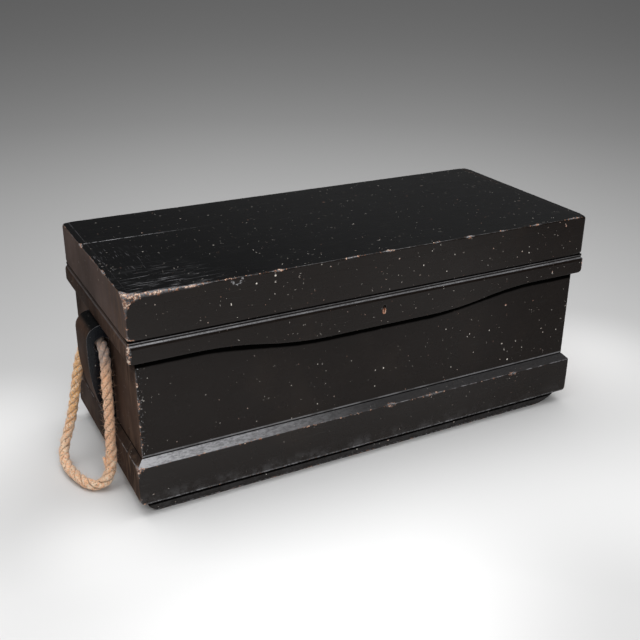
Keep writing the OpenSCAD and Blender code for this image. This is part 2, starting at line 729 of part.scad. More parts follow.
module lock_case() color(iron) difference() {
    union() {
        difference() {
            case_space();
            board([keyhole_offset - case_length / 2 + case_wall, case_low_y + case_wall,
                   case_low_z + case_wall],
                  [keyhole_offset + case_length / 2 - case_wall, inner_front_y - case_wall,
                   rim_z - selvedge_thickness]);
        }
        for (x = guide_places)
            board([keyhole_offset + x, case_low_y + case_wall / 2, bolt_z - bolt_height],
                  [keyhole_offset + x + guide_thickness, inner_front_y - case_wall / 2,
                   rim_z - selvedge_thickness / 2]);
        translate([keyhole_offset, inner_front_y - case_wall / 2, key_z]) rotate([90, 0, 0])
            cylinder(h = case_depth - case_wall, r = keyhole_radius / 2);
    }
    board([keyhole_offset - case_length, inner_front_y, 0], [keyhole_offset + case_length, 0, big]);
    board([keyhole_offset - case_length, case_low_y, rim_z], [keyhole_offset + case_length, 0, big]);
    bolt_bar(bolt_clearance, 2 * bolt_throw);
    board([keyhole_offset - link_thickness / 2 - link_gap, case_middle_y - link_width / 2 - link_gap,
           rim_z - link_drop],
          [keyhole_offset + link_thickness / 2 + link_gap, case_middle_y + link_width / 2 + link_gap,
           rim_z + tiny]);
    at_lock_screws(rim_z) screw(short_screw, screw_gap);
    difference() {
        keyhole(case_low_y - margin, case_low_y + case_wall + tiny);
        translate([keyhole_offset, case_low_y, key_z]) rotate([90, 0, 0])
            cylinder(h = case_depth, r = keyhole_radius / 2, center = true);
    }
}

module lock_bolt() color(iron) difference() {
    bolt_bar();
    board([bolt_tip_x - notch_ends[0], case_middle_y - bolt_thickness, bolt_z - bolt_height],
          [bolt_tip_x - notch_ends[1], case_middle_y + bolt_thickness,
           bolt_z - bolt_height / 2 + notch_depth]);
}

module lock_screws() color(iron) at_lock_screws(rim_z) screw(short_screw);

module keyhole_escutcheon() color(brass) difference() {
    keyhole(front_y - band_thickness, front_y - band_thickness + escutcheon_depth, escutcheon_wall);
    keyhole(front_y - band_thickness - margin, front_y);
}

// Link plate under the front rim of the lid
link_plate_length = 50;
link_plate_width = 13;
link_screw_inset = 7;
link_screw_x = link_plate_length / 2 - link_screw_inset;
module link_plate_body() board(
    [keyhole_offset - link_plate_length / 2, case_middle_y - link_plate_width / 2, rim_z],
    [keyhole_offset + link_plate_length / 2, case_middle_y + link_plate_width / 2,
     rim_z + selvedge_thickness]
);
module at_link_screws() for (s = [-1, 1])
    translate([keyhole_offset + s * link_screw_x, case_middle_y, rim_z]) upside_down() children();
module link_seat() {
    translate([0, 0, -tiny]) link_plate_body();
    link_plate_body();
    at_link_screws() screw(short_screw, screw_gap);
}
module lid_link_plate() color(iron) difference() {
    union() {
        link_plate_body();
        board([keyhole_offset - link_thickness / 2, case_middle_y - link_width / 2,
               rim_z - link_drop + link_gap],
              [keyhole_offset + link_thickness / 2, case_middle_y + link_width / 2,
               rim_z + selvedge_thickness]);
    }
    board([keyhole_offset - link_thickness, case_middle_y - bolt_thickness / 2 - 2 * bolt_clearance,
           bolt_z - link_hole_height / 2],
          [keyhole_offset + link_thickness, case_middle_y + bolt_thickness / 2 + 2 * bolt_clearance,
           bolt_z + link_hole_height / 2]);
    at_link_screws() screw(short_screw, screw_gap);
}
module lid_link_screws() color(iron) at_link_screws() screw(short_screw);

module left_till_strip() color(bare_pine)
    board([-inner_x, inner_front_y, till_low_z - till_strip_height],
          [-inner_x + till_strip_width, inner_back_y, till_low_z]);
module right_till_strip() mirror([1, 0, 0]) left_till_strip();

module till_front() color(bare_pine) till_long_board(till_front_y);
module till_back() color(bare_pine) till_long_board(till_back_y - till_wall);
module till_left_end() color(bare_pine) till_end();
module till_right_end() color(bare_pine) mirror([1, 0, 0]) till_end();
module till_bottom() color(bare_pine)
    board([-till_end_x, till_front_y, till_low_z], [till_end_x, till_back_y, till_floor_z]);
module till_dividers() color(bare_pine) {
    pitch = 2 * (till_end_x - till_wall) / till_compartments;
    for (i = [1:till_compartments - 1])
        translate([-till_end_x + till_wall + i * pitch - till_wall / 2, 0, 0])
            board([0, till_front_y + till_wall, till_floor_z],
                  [till_wall, till_back_y - till_wall, till_low_z + till_height - till_wall]);
}

front_board();
back_board();
left_end_board();
right_end_board();
bottom_boards();
front_runner();
back_runner();
front_plinth();
left_plinth();
right_plinth();
front_band();
left_band();
right_band();
left_handle_block();
right_handle_block();
left_rope_handle();
right_rope_handle();
handle_block_screws();
lid_front_plank();
lid_back_plank();
lid_front_rim();
lid_back_rim();
lid_left_rim();
lid_right_rim();
left_hinge_chest_leaf();
left_hinge_lid_leaf();
left_hinge_pin();
right_hinge_chest_leaf();
right_hinge_lid_leaf();
right_hinge_pin();
hinge_chest_screws();
hinge_lid_screws();
lock_case();
lock_bolt();
lock_screws();
keyhole_escutcheon();
lid_link_plate();
lid_link_screws();
left_till_strip();
right_till_strip();
till_front();
till_back();
till_left_end();
till_right_end();
till_bottom();
till_dividers();
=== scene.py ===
# %% [markdown]
# # A joiner's tool chest in worn black paint
# The chest is pine: a dovetailed carcass on two runners, a plinth, a moulded band, a deep box lid and a
# rope handle at each end. Its construction is already solved in the packed frame. This lesson gives it
# its looks: boards whose arrises are rubbed round, paint that is chipped through to the wood, and rope
# that is laid up from three strands.

# %% Load the frame
import functools
import math

import bmesh
import bpy
import numpy as np
from mathutils import Matrix, Vector


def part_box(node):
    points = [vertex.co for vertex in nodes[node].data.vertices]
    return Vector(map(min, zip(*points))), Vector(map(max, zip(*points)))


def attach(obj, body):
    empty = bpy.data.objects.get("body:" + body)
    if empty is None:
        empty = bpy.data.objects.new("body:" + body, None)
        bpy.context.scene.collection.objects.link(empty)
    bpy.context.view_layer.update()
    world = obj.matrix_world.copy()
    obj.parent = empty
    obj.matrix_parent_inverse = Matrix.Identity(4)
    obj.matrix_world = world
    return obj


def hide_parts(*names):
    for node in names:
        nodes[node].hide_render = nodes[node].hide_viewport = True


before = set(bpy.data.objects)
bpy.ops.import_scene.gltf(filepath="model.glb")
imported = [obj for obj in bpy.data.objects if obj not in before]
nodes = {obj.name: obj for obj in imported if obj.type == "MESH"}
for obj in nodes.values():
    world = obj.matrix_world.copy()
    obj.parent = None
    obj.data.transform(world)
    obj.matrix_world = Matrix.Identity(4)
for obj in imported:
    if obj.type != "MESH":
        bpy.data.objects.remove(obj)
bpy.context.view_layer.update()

MM = 0.001
TURN = 2 * math.pi


def box_mm(*names):
    """Lowest and highest corner of some CAD nodes together, in millimetres."""
    corners = np.array([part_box(name) for name in names]) / MM
    return corners[:, 0].min(axis=0), corners[:, 1].max(axis=0)


def add_object(name, data):
    """Puts an object with this data into the scene, at the origin."""
    made = bpy.data.objects.new(name, data)
    bpy.context.scene.collection.objects.link(made)
    return made


LID = ("lid_left_rim", "lid_right_rim", "lid_front_plank", "lid_back_plank")
CARCASS = ("front_board", "back_board", "left_end_board", "right_end_board")
lid_low, lid_high = box_mm(*LID)
carcass_low, carcass_high = box_mm(*CARCASS)
plinth_low, plinth_high = box_mm("front_plinth", "left_plinth", "right_plinth")
band_low, band_high = box_mm("front_band", "left_band", "right_band")
print("lid", lid_low.round(1), lid_high.round(1))
print("carcass", carcass_low.round(1), carcass_high.round(1))

# %% [markdown]
# ## The camera
# The camera stands a little above the lid, to the left of the keyhole. Its place was worked out from
# the lid's four top corners in the photograph, so the picture's proportions are the chest's own. Its
# turn is built from three angles, which keeps the numbers readable.

# %% Camera at the photograph's angle
EYE = (-0.7837, -1.4662, 0.9437)
YAW, PITCH, ROLL = 27.588, 24.202, 0.481
LENS_MM = 51.59


def camera_turn(yaw, pitch, roll):
    """Rotation whose columns are the picture's right, its up, and the way back from the scene to the
    eye."""
    a, b, c = (math.radians(angle) for angle in (yaw, pitch, roll))
    ahead = Vector((math.sin(a) * math.cos(b), math.cos(a) * math.cos(b), -math.sin(b)))
    level_right = Vector((math.cos(a), -math.sin(a), 0))
    level_up = level_right.cross(ahead)
    right = math.cos(c) * level_right + math.sin(c) * level_up
    up = math.cos(c) * level_up - math.sin(c) * level_right
    return Matrix((right, up, -ahead)).transposed()


camera = add_object("camera", bpy.data.cameras.new("camera"))
camera.data.lens = LENS_MM
camera.data.sensor_width = 36
camera.matrix_world = Matrix.Translation(EYE) @ camera_turn(YAW, PITCH, ROLL).to_4x4()
bpy.context.scene.camera = camera
bpy.context.scene.view_settings.view_transform = "Standard"
print("camera at", EYE, "with a lens of", LENS_MM, "mm")

# %% [markdown]
# ## A small kit for surfaces
# Every new piece is a grid of points that numpy works out at once. A few small helpers turn such grids
# into pieces: they number the quads of a grid, make the mesh, turn its faces outwards where that is
# needed, and hang it on its body. One more gives soft random numbers for wear. Random values on a
# lattice, blended between its corners, are enough for nibbled arrises, and they come out the same on
# each run.

# %% Grids and pieces
def grid_quads(rows, columns, closed_rows=False, closed_columns=False):
    """Quads between neighbours of a grid numbered row by row; a closed direction joins its end to its
    start."""
    r = np.arange(rows if closed_rows else rows - 1)
    c = np.arange(columns if closed_columns else columns - 1)
    r0, c0 = (index.ravel() for index in np.meshgrid(r, c, indexing="ij"))
    r1, c1 = (r0 + 1) % rows, (c0 + 1) % columns
    return np.stack([r0 * columns + c0, r0 * columns + c1, r1 * columns + c1, r1 * columns + c0], axis=1)


def tube_faces(rows, columns):
    """Faces of a tube of closed rings: its quads, and one cap at each end."""
    ring = np.arange(columns)
    return [*grid_quads(rows, columns, closed_columns=True), ring[::-1], ring + (rows - 1) * columns]


def mesh_of(name, points, faces):
    """A mesh made from points in millimetres."""
    mesh = bpy.data.meshes.new(name)
    mesh.from_pydata((np.reshape(points, (-1, 3)) * MM).tolist(), [], [list(map(int, f)) for f in faces])
    return mesh


def turn_outwards(mesh):
    """Turns the faces of a closed mesh outwards."""
    work = bmesh.new()
    work.from_mesh(mesh)
    bmesh.ops.recalc_face_normals(work, faces=work.faces)
    work.to_mesh(mesh)
    work.free()


def hang(name, mesh, body, finish, replaces=(), sharp=40):
    """Makes a mesh one piece of the chest, gives it its finish, and rides it on a body."""
    mesh.shade_smooth()
    mesh.set_sharp_from_angle(angle=math.radians(sharp))
    mesh.materials.clear()
    mesh.materials.append(finish)
    piece = add_object(name, mesh)
    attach(piece, body)
    if replaces:
        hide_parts(*replaces)
    print(name, len(mesh.vertices), "points,", len(mesh.polygons), "faces")
    return piece


def make_piece(name, points, faces, body, slot, finish, replaces=(), sharp=40, **numbers):
    """A piece made from points in millimetres. Its numbers, one for each point, are there for its
    finish."""
    mesh = mesh_of(name, points, faces)
    for key, values in numbers.items():
        layer = mesh.attributes.new(key, "FLOAT", "POINT")
        layer.data.foreach_set("value", np.asarray(values, np.float32).ravel())
    return hang(name, mesh, body, finish, replaces, sharp)


print("a tube of 3 rings of 8 points has", len(tube_faces(3, 8)), "faces")

# %% Soft random numbers
def lattice_noise(points, cell, seed):
    """Smooth noise from 0 to 1: hashed values on a cubic lattice, blended over each cell by 3t^2 -
    2t^3."""
    q = np.asarray(points, float) / cell
    base = np.floor(q).astype(np.int64)
    t = q - base
    t = t * t * (3 - 2 * t)
    total = np.zeros(q.shape[:-1])
    for corner in np.ndindex(2, 2, 2):
        i, j, k = np.moveaxis(base + corner, -1, 0)
        h = (i * 73856093 ^ j * 19349663 ^ k * 83492791 ^ seed * 2654435761) & 0xFFFFFFFF
        h = ((h ^ (h >> 13)) * 1274126177) & 0xFFFFFFFF
        weight = np.prod(np.where(corner, t, 1 - t), axis=-1)
        total += weight * ((h ^ (h >> 16)) & 0xFFFF) / 0xFFFF
    return total


print("noise at the lid's corners", lattice_noise([lid_low, lid_high], 26, 5).round(3))

# %% [markdown]
# ## Words for finishes
# A finish is a tree of shader nodes. Writing each node by hand hides the idea, so two small classes
# lend it plain words. A value is what flows out of one node into the next, and adding or multiplying
# two values makes the node that does so. A finish has a word for each pattern: a soft step, a noise, a
# spot, a line, a blend of two colours. Patterns read the object's own coordinates in millimetres, so a
# 3 mm chip is written as 3.

# %% Values that flow between nodes
def sum_of(operation, swapped=False):
    """A method of Value: one math node that joins the value with another value or a number."""
    def method(self, other):
        pair = (other, self) if swapped else (self, other)
        return self.finish.math(operation, *pair)
    return method


class Value:
    """A number, colour or place that flows between the nodes of a finish."""

    def __init__(self, finish, socket):
        self.finish = finish
        self.socket = socket

    def __abs__(self):
        return self.finish.math("ABSOLUTE", self)

    __add__ = __radd__ = sum_of("ADD")
    __mul__ = __rmul__ = sum_of("MULTIPLY")
    __sub__ = sum_of("SUBTRACT")
    __rsub__ = sum_of("SUBTRACT", swapped=True)
    __truediv__ = sum_of("DIVIDE")
    __rtruediv__ = sum_of("DIVIDE", swapped=True)
    __pow__ = sum_of("POWER")


print("values can be added, subtracted, multiplied, divided and raised to a power")

# %% Words of a finish
class Finish:
    """One material, with short words for the nodes that the chest's finishes need."""

    def __init__(self, name):
        self.material = bpy.data.materials.new(name)
        self.material.use_nodes = True
        self.tree = self.material.node_tree
        self.tree.nodes.clear()
        here = self.value("ShaderNodeTexCoord", "Object")
        self.place = self.value("ShaderNodeVectorMath", 0, {0: here, 3: 1 / MM}, operation="SCALE")
        self.facing = self.parts(self.value("ShaderNodeTexCoord", "Normal"))
        self.x, self.y, self.z = self.parts(self.place)

    def node(self, kind, sockets=None, **settings):
        """Adds a node: settings are its own fields, and sockets take numbers, colours or values."""
        made = self.tree.nodes.new(kind)
        for key, setting in settings.items():
            setattr(made, key, setting)
        for key, given in (sockets or {}).items():
            if isinstance(given, Value):
                self.tree.links.new(given.socket, made.inputs[key])
            else:
                made.inputs[key].default_value = given
        return made

    def value(self, kind, output, sockets=None, **settings):
        """Adds a node and gives the value of one of its outputs."""
        return Value(self, self.node(kind, sockets, **settings).outputs[output])

    def parts(self, vector):
        """The three numbers of a vector or colour."""
        return tuple(Value(self, part) for part in self.node("ShaderNodeSeparateXYZ", {0: vector}).outputs)

    def vector(self, x, y, z=0.0):
        """A vector of three values or numbers."""
        return self.value("ShaderNodeCombineXYZ", 0, {0: x, 1: y, 2: z})

    def attribute(self, name):
        """A number that the mesh carries at each of its points."""
        return self.value("ShaderNodeAttribute", "Fac", attribute_name=name)

    def math(self, operation, a, b=0.0):
        """One math node, such as ADD, DIVIDE, POWER, MINIMUM or ABSOLUTE."""
        return self.value("ShaderNodeMath", 0, {0: a, 1: b}, operation=operation)

    def least(self, *values):
        """The smallest of several values."""
        return functools.reduce(functools.partial(self.math, "MINIMUM"), values)

    def most(self, *values):
        """The largest of several values."""
        return functools.reduce(functools.partial(self.math, "MAXIMUM"), values)

    def step(self, value, low, high, to_low=0.0, to_high=1.0):
        """A soft step: to_low below low, to_high above high, smooth between."""
        sockets = {"Value": value, "From Min": low, "From Max": high, "To Min": to_low, "To Max": to_high}
        return self.value("ShaderNodeMapRange", 0, sockets, interpolation_type="SMOOTHSTEP")

    def stretched(self, x, y, z):
        """The place with each direction scaled, so that a pattern is drawn out along the small ones."""
        return self.value("ShaderNodeVectorMath", 0, {0: self.place, 1: (x, y, z)}, operation="MULTIPLY")

    def noise(self, size, detail=3.0, vector=None, roughness=0.55):
        """Noise whose patches are about size millimetres wide."""
        return self.value("ShaderNodeTexNoise", "Fac", {
            "Vector": vector or self.place, "Scale": 1 / size, "Detail": detail, "Roughness": roughness})

    def blend(self, share, a, b):
        """Colour a where share is 0 and colour b where it is 1."""
        a, b = ((*c, 1.0) if isinstance(c, tuple) else c for c in (a, b))
        return self.value("ShaderNodeMix", 2, {0: share, 6: a, 7: b}, data_type="RGBA")

    def layers(self, colour, *coats):
        """A colour under several coats, each one a share and a colour, the last one on top."""
        for share, coat in coats:
            colour = self.blend(share, colour, coat)
        return colour

    def distance(self, place):
        """The distance to a place in millimetres."""
        return self.value("ShaderNodeVectorMath", "Value", {0: self.place, 1: place}, operation="DISTANCE")

    def spot(self, centre, reach):
        """1 at a place on the chest, falling to 0 at that reach."""
        return self.step(self.distance(centre), 0.0, reach, 1.0, 0.0)

    def line_at(self, value, place, half_width):
        """1 on the line where a value is at its place, 0 beyond the line's half width."""
        return self.step(abs(value - place), 0.4 * half_width, half_width, 1.0, 0.0)

    def surface(self, colour, roughness, height, bump_mm=1.0, **sockets):
        """Closes the tree with one principled shader, whose height is in millimetres times bump_mm. Its
        other sockets are named with _ for each blank."""
        bump = self.value("ShaderNodeBump", 0, {"Height": height * (bump_mm * MM), "Distance": 1.0})
        shader = self.value("ShaderNodeBsdfPrincipled", 0, {
            "Base Color": colour, "Roughness": roughness, "Normal": bump,
            **{key.replace("_", " "): given for key, given in sockets.items()}})
        self.node("ShaderNodeOutputMaterial", {0: shader})
        return self.material


print("a finish has", len([word for word in vars(Finish) if not word.startswith("_")]), "words")

# %% [markdown]
# ## The rope's finish
# The handles are old hemp: pinkish straw on the crowns of the strands, orange on the back leg, brown
# painted shade in the grooves, and grey where hands and the block have rubbed the top of the front leg,
# all of it mottled and flecked with dirt. A photograph of rope could be laid on it, but the colours
# follow the rope's own form, so they are worked out. The mesh carries three numbers for this: the depth
# under the rope's outer circle, the way along the rope, and the way round the strand. Fine fibres are a
# noise drawn out along the yarns.

# %% Hemp
STRAW, PALE_STRAW = (0.95, 0.50, 0.27), (0.95, 0.66, 0.45)
HEMP_ORANGE, HEMP_BLEACHED, HEMP_PINK = (0.95, 0.50, 0.17), (0.97, 0.82, 0.66), (1.0, 0.52, 0.30)
HEMP_STAIN, HEMP_GROOVE_PAINTED_SHADE, HEMP_DIRT = (0.42, 0.19, 0.08), (0.20, 0.10, 0.05), (0.17, 0.08, 0.04)
FIBRE_PALE, FIBRE_DARK, HEMP_GREY = (0.95, 0.70, 0.48), (0.16, 0.085, 0.04), (0.32, 0.27, 0.255)


def hemp_finish():
    """Old hemp: colour by place and noise, painted shade by depth in the grooves, with a bump of fibres
    that run along each yarn.
    """
    f = Finish("hemp_rope")
    fibres = f.noise(0.55, 4.0, f.vector(f.attribute("along_mm") * 0.12, f.attribute("round_mm")))
    at_back = f.step(f.y, 0, 40) * f.step(f.z, 50, 120)
    at_front = f.step(f.y, -30, -60, 0.0, 0.5) * f.step(f.z, 40, 100)
    rubbed_top = f.step(f.z, 205, 245) * f.step(f.y, 10, -25)
    colour = f.layers(
        STRAW,
        (f.step(f.noise(16), 0.35, 0.68), PALE_STRAW),
        (at_back * f.step(f.noise(12), 0.3, 0.6, 0.5, 1.0), HEMP_ORANGE),
        (f.step(f.noise(4, 4.0, roughness=0.75), 0.50, 0.58, 0.0, 0.85), HEMP_BLEACHED),
        (at_front, HEMP_PINK),
        (f.step(f.noise(9, 4.0, roughness=0.7), 0.52, 0.64, 0.0, 0.35), HEMP_STAIN),
        # Painted shade in the grooves between the strands, darker with depth
        (f.step(f.attribute("depth_mm"), 1.5, 3.8, 0.0, 0.65), HEMP_GROOVE_PAINTED_SHADE),
        (f.step(f.noise(3.4, roughness=0.7), 0.56, 0.61, 0.0, 0.85), HEMP_DIRT),
        (f.step(fibres, 0.3, 0.75, 0.0, 0.45), FIBRE_PALE),
        (f.step(fibres, 0.45, 0.22, 0.0, 0.4), FIBRE_DARK),
        (rubbed_top * f.step(f.noise(5), 0.40, 0.62, 0.9, 0.5), HEMP_GREY))
    return f.surface(colour, 0.85, fibres, 0.5, Specular_IOR_Level=0.15, Sheen_Weight=0.3)


hemp = hemp_finish()
print(hemp.name, "has", len(hemp.node_tree.nodes), "nodes")

# %% [markdown]
# ## The rope handles
# Each handle is a closed loop of 18 mm three-strand rope. It lies in the bored hole of its block, hangs
# down, rests against the plinth and swings round near the floor, where its two ends are spliced into
# each other. The route below is the same list of points that the solids follow: distance outwards,
# back and up from the hole's axis. The rope could be a plain tube with a twisted texture, but the three
# strands show against the light, so each one is a real tube that turns round the route.

# %% Route of the rope
ROPE_ROUTE = np.array([
    (0, 0, 0), (0, -13, 0), (0, -26, 0), (0, -37, -2), (1, -46, -8), (2, -53, -19), (3, -57, -36),
    (5, -60, -65), (6, -64, -100), (8, -67, -135), (10, -70, -165), (12, -74, -192), (16, -80, -214),
    (24, -85, -231), (36, -86, -241), (50, -79, -244), (61, -65, -243), (69, -45, -242), (75, -22, -240),
    (78, 0, -237), (77, 18, -229), (71, 30, -214), (61, 37, -192), (49, 42, -158), (39, 46, -120),
    (31, 48, -85), (23, 49, -56), (14, 52, -36), (7, 52, -21), (2, 47, -9), (0, 38, -2), (0, 26, 0),
    (0, 13, 0),
], float)
ROPE_AXIS = (458.0, 0.0, 254.8)
ROPE_RADIUS = 9.0
ROPE_STEP = 1.35
STEPS_TO_POINT = 12


def closed_curve(corners, steps):
    """Closed Catmull-Rom curve: between b and c, with a before and d after,
    (2b + (c-a)t + (2a-5b+4c-d)t^2 + (3b-a-3c+d)t^3) / 2."""
    a, b, c, d = (np.roll(corners, shift, axis=0)[:, None] for shift in (1, 0, -1, -2))
    t = (np.arange(steps) / steps)[None, :, None]
    curve = 2 * b + (c - a) * t + (2 * a - 5 * b + 4 * c - d) * t**2 + (3 * b - a - 3 * c + d) * t**3
    return 0.5 * curve.reshape(-1, 3)


def evenly(curve, step):
    """The closed curve resampled at even steps: its points, the way along it, and its whole length."""
    closed = np.vstack([curve, curve[:1]])
    way = np.concatenate([[0], np.cumsum(np.linalg.norm(np.diff(closed, axis=0), axis=1))])
    count = int(round(way[-1] / step))
    marks = np.arange(count) * way[-1] / count
    return np.stack([np.interp(marks, way, closed[:, k]) for k in range(3)], axis=1), marks, way[-1]


def mirrored(place, side):
    """A place or direction of the right side, given for the right (1) or mirrored to the left (-1)."""
    return np.asarray(place, float) * (side, 1, 1)


def rope_line(side):
    """The rope's centreline on one side of the chest, in millimetres."""
    return evenly(closed_curve(mirrored(ROPE_ROUTE + ROPE_AXIS, side), STEPS_TO_POINT), ROPE_STEP)


line, marks, rope_length = rope_line(-1)
print("rope", len(line), "steps,", round(rope_length, 1), "mm long")

# %% One strand laid round the route
STRAND_SIDES = 26
YARNS = 9
ROPE_TURNS = 13
YARN_TWIST = 2.4
GROOVE_FILL = 0.5
SPLICE_MIDDLE, SPLICE_REACH, SPLICE_SWELL = 262.0, 42.0, 0.09
REFERENCE = (-0.8, 0.35, -0.5)


def unit(vectors):
    """Vectors of length 1."""
    return vectors / np.linalg.norm(vectors, axis=-1, keepdims=True)


def tangents(curve):
    """Directions along a closed curve."""
    return unit(np.roll(curve, -1, axis=0) - np.roll(curve, 1, axis=0))


def on_circle(angle, a, b):
    """Directions cos(angle) a + sin(angle) b, for angles that run over one more axis than a and b."""
    return np.cos(angle)[..., None] * a + np.sin(angle)[..., None] * b


def strand_skin(side, k):
    """One strand: a tube of radius s whose middle circles the rope's line at distance c, once in each
    turn.

    Three equal strands touch when c = 2s / sqrt(3) and c + s is the rope's radius R. The tube's own
    radius swells by 4% on each yarn: s (1 + 0.04 cos(n (angle + twist))). Old rope is matted, so a
    point at distance r from the rope's line moves out to r + fill (R - r), which flattens the strands'
    crowns."""
    line, marks, length = rope_line(side)
    tangent = tangents(line)
    first = unit(np.cross(tangent, mirrored(REFERENCE, side)))
    swell = 1.04 + SPLICE_SWELL * np.exp(-((marks - SPLICE_MIDDLE) / SPLICE_REACH) ** 4)
    wobble = 1 + 0.05 * (lattice_noise(line + 200 * k, 17, 3 + k) - 0.5)
    strand = ROPE_RADIUS / (1 + 2 / math.sqrt(3)) * swell * wobble
    circle = ROPE_RADIUS * swell - strand
    turn = -side * TURN * (ROPE_TURNS * marks / length + k / 3)
    turn = turn + 0.16 * (lattice_noise(line, 31, 11) - 0.5)
    outward = on_circle(turn, first, np.cross(tangent, first))
    middle = line + circle[:, None] * outward
    run = tangents(middle)
    out = unit(outward - (outward * run).sum(axis=1, keepdims=True) * run)
    angle = np.pi + TURN * np.arange(STRAND_SIDES) / STRAND_SIDES
    yarn = angle + side * TURN * YARN_TWIST * ROPE_TURNS * marks[:, None] / length
    radius = strand[:, None] * (1 + 0.04 * np.cos(YARNS * yarn))
    skin = middle[:, None] + radius[..., None] * on_circle(angle, out[:, None], np.cross(run, out)[:, None])
    away = skin - line[:, None]
    distance = np.linalg.norm(away, axis=2)
    depth = ROPE_RADIUS * swell[:, None] - distance
    outer = np.clip((distance / ROPE_RADIUS - 0.45) / 0.3, 0, 1)
    skin = skin + (GROOVE_FILL * outer * np.maximum(depth, 0) / distance)[..., None] * away
    rough = 1.3 * (lattice_noise(skin, 2.9, 21 + k) - 0.5) + 1.1 * (lattice_noise(skin, 7.0, 31 + k) - 0.5)
    skin = skin + rough[..., None] * unit(skin - middle[:, None])
    return skin, depth, np.broadcast_to(marks[:, None], depth.shape), yarn * strand[:, None]


print("a strand has", strand_skin(-1, 0)[0].shape[:2], "points along and round it")

# %% Three strands make the rope
def rope_piece(side, name):
    """The three strands of one handle as one mesh."""
    skins, depths, ways, rounds = zip(*[strand_skin(side, k) for k in range(3)])
    rows, columns = depths[0].shape
    quads = grid_quads(rows, columns, closed_rows=True, closed_columns=True)
    faces = np.vstack([quads + k * rows * columns for k in range(3)])
    return make_piece(name, np.stack(skins), faces, name, "hemp_rope", hemp, replaces=(f"{name}_handle",),
                      sharp=180, depth_mm=np.stack(depths), along_mm=np.stack(ways),
                      round_mm=np.stack(rounds))


left_rope = rope_piece(-1, "left_rope")
right_rope = rope_piece(1, "right_rope")

# %% [markdown]
# ## Loose fibres
# Hemp sheds: short fibres stand off the strands and soften the outline. Each one is a hair-thin tube
# along a small arc that starts on a strand's crown, leans along the rope and lifts away from it. All of
# them are worked out in one array, because a modifier that scatters hairs would need a mesh for each.
# They are thickest round the splice, where the cut end of a strand also stands up.

# %% Fibres and the splice's end
FIBRE_COUNT, FIBRE_RINGS, FIBRE_RADIUS = 1500, 5, 0.16
BARE_NEAR_HOLE = 60.0
END_RINGS, END_SIDES, END_HEIGHT, END_RADIUS = 9, 14, 14, 3.4


def thin_tubes(starts, directions, lifts, lengths):
    """Many three-sided tubes at once: a tube is at start + length (t direction + t^2 lift), t from 0 to
    1."""
    t = np.linspace(0, 1, FIBRE_RINGS)[None, :, None]
    middle = starts[:, None] + lengths[:, None, None] * (t * directions[:, None] + t**2 * lifts[:, None])
    a = unit(np.cross(directions, lifts))
    b = unit(np.cross(directions, a))
    ring = on_circle(TURN * np.arange(3) / 3, a[:, None], b[:, None])
    taper = FIBRE_RADIUS * (1 - 0.7 * t)
    points = middle[:, :, None] + taper[..., None] * ring[:, None]
    offsets = (np.arange(len(starts)) * 3 * FIBRE_RINGS)[:, None, None]
    quads = grid_quads(FIBRE_RINGS, 3, closed_columns=True) + offsets
    caps = np.array([(2, 1, 0), np.arange(3) + 3 * (FIBRE_RINGS - 1)]) + offsets
    return points.reshape(-1, 3), [*quads.reshape(-1, 4), *caps.reshape(-1, 3)]


def fibre_piece(side, name, body):
    """Fibres on the outer half of the strands, none of them inside the block's hole."""
    random = np.random.default_rng(40 + side)
    skins = np.stack([strand_skin(side, k)[0] for k in range(3)])
    line, marks, length = rope_line(side)
    near_splice = np.exp(-((marks - SPLICE_MIDDLE) / 60) ** 2)
    outside = (marks > BARE_NEAR_HOLE) & (marks < length - BARE_NEAR_HOLE)
    chance = np.where(outside, 1 + 2.5 * near_splice, 0)
    row = random.choice(len(marks), FIBRE_COUNT, p=chance / chance.sum())
    column = STRAND_SIDES // 2 + random.integers(-6, 7, FIBRE_COUNT)
    starts = skins[random.integers(0, 3, FIBRE_COUNT), row, column]
    away = unit(starts - line[row])
    lean = tangents(line)[row] * random.choice([-1, 1], FIBRE_COUNT)[:, None]
    lean = lean + 0.5 * random.normal(size=(FIBRE_COUNT, 3))
    directions = unit(lean + 0.25 * away)
    lifts = 0.5 * away + 0.35 * random.normal(size=(FIBRE_COUNT, 3))
    points, faces = thin_tubes(starts - 0.3 * away, directions, lifts, random.uniform(3, 9, FIBRE_COUNT))
    points[:, 2] = np.maximum(points[:, 2], box_mm(f"{body}_handle")[0][2])
    return make_piece(name, points, faces, body, "hemp_rope", hemp, sharp=180,
                      depth_mm=np.zeros(len(points)), along_mm=points[:, 2], round_mm=points[:, 1])


def splice_end(side, name, body):
    """The cut end of a strand that stands up beside the splice: a short tapering tube with a rounded
    tip."""
    line, marks, _ = rope_line(side)
    at = int(np.searchsorted(marks, SPLICE_MIDDLE - 6))
    beside = unit(mirrored((0.8, 0.6, 0.0), side))
    rise = unit(np.array((0.0, 0.12, 1.0)))
    share = np.linspace(0, 1, END_RINGS)[:, None]
    middle = line[at] + 9.6 * beside + share * END_HEIGHT * rise + share**2 * 3.0 * beside
    angle = TURN * np.arange(END_SIDES) / END_SIDES
    ridges = 1 + 0.10 * np.cos(7 * angle + 3 * share)
    radius = END_RADIUS * np.sqrt(np.clip(1 - share**6, 0, 1)) * (1 - 0.12 * share) * ridges
    ring = on_circle(angle, np.array((1.0, 0, 0)), np.array((0, 1.0, 0)))
    points = (middle[:, None] + radius[..., None] * ring).reshape(-1, 3)
    return make_piece(name, points, tube_faces(END_RINGS, END_SIDES), body, "hemp_rope", hemp, sharp=180,
                      depth_mm=np.zeros(len(points)), along_mm=points[:, 2], round_mm=points[:, 0])


for side, name, rope in ((-1, "left", left_rope), (1, "right", right_rope)):
    loose = fibre_piece(side, f"{name}_rope_fibres", f"{name}_rope")
    end = splice_end(side, f"{name}_rope_strand_end", f"{name}_rope")
    route = np.vstack([rope_line(side)[0], rope_line(side)[0][:1]]) * MM
    exit_point = (side * ROPE_AXIS[0] * MM, -0.025, ROPE_AXIS[2] * MM)
    rope_length * MM
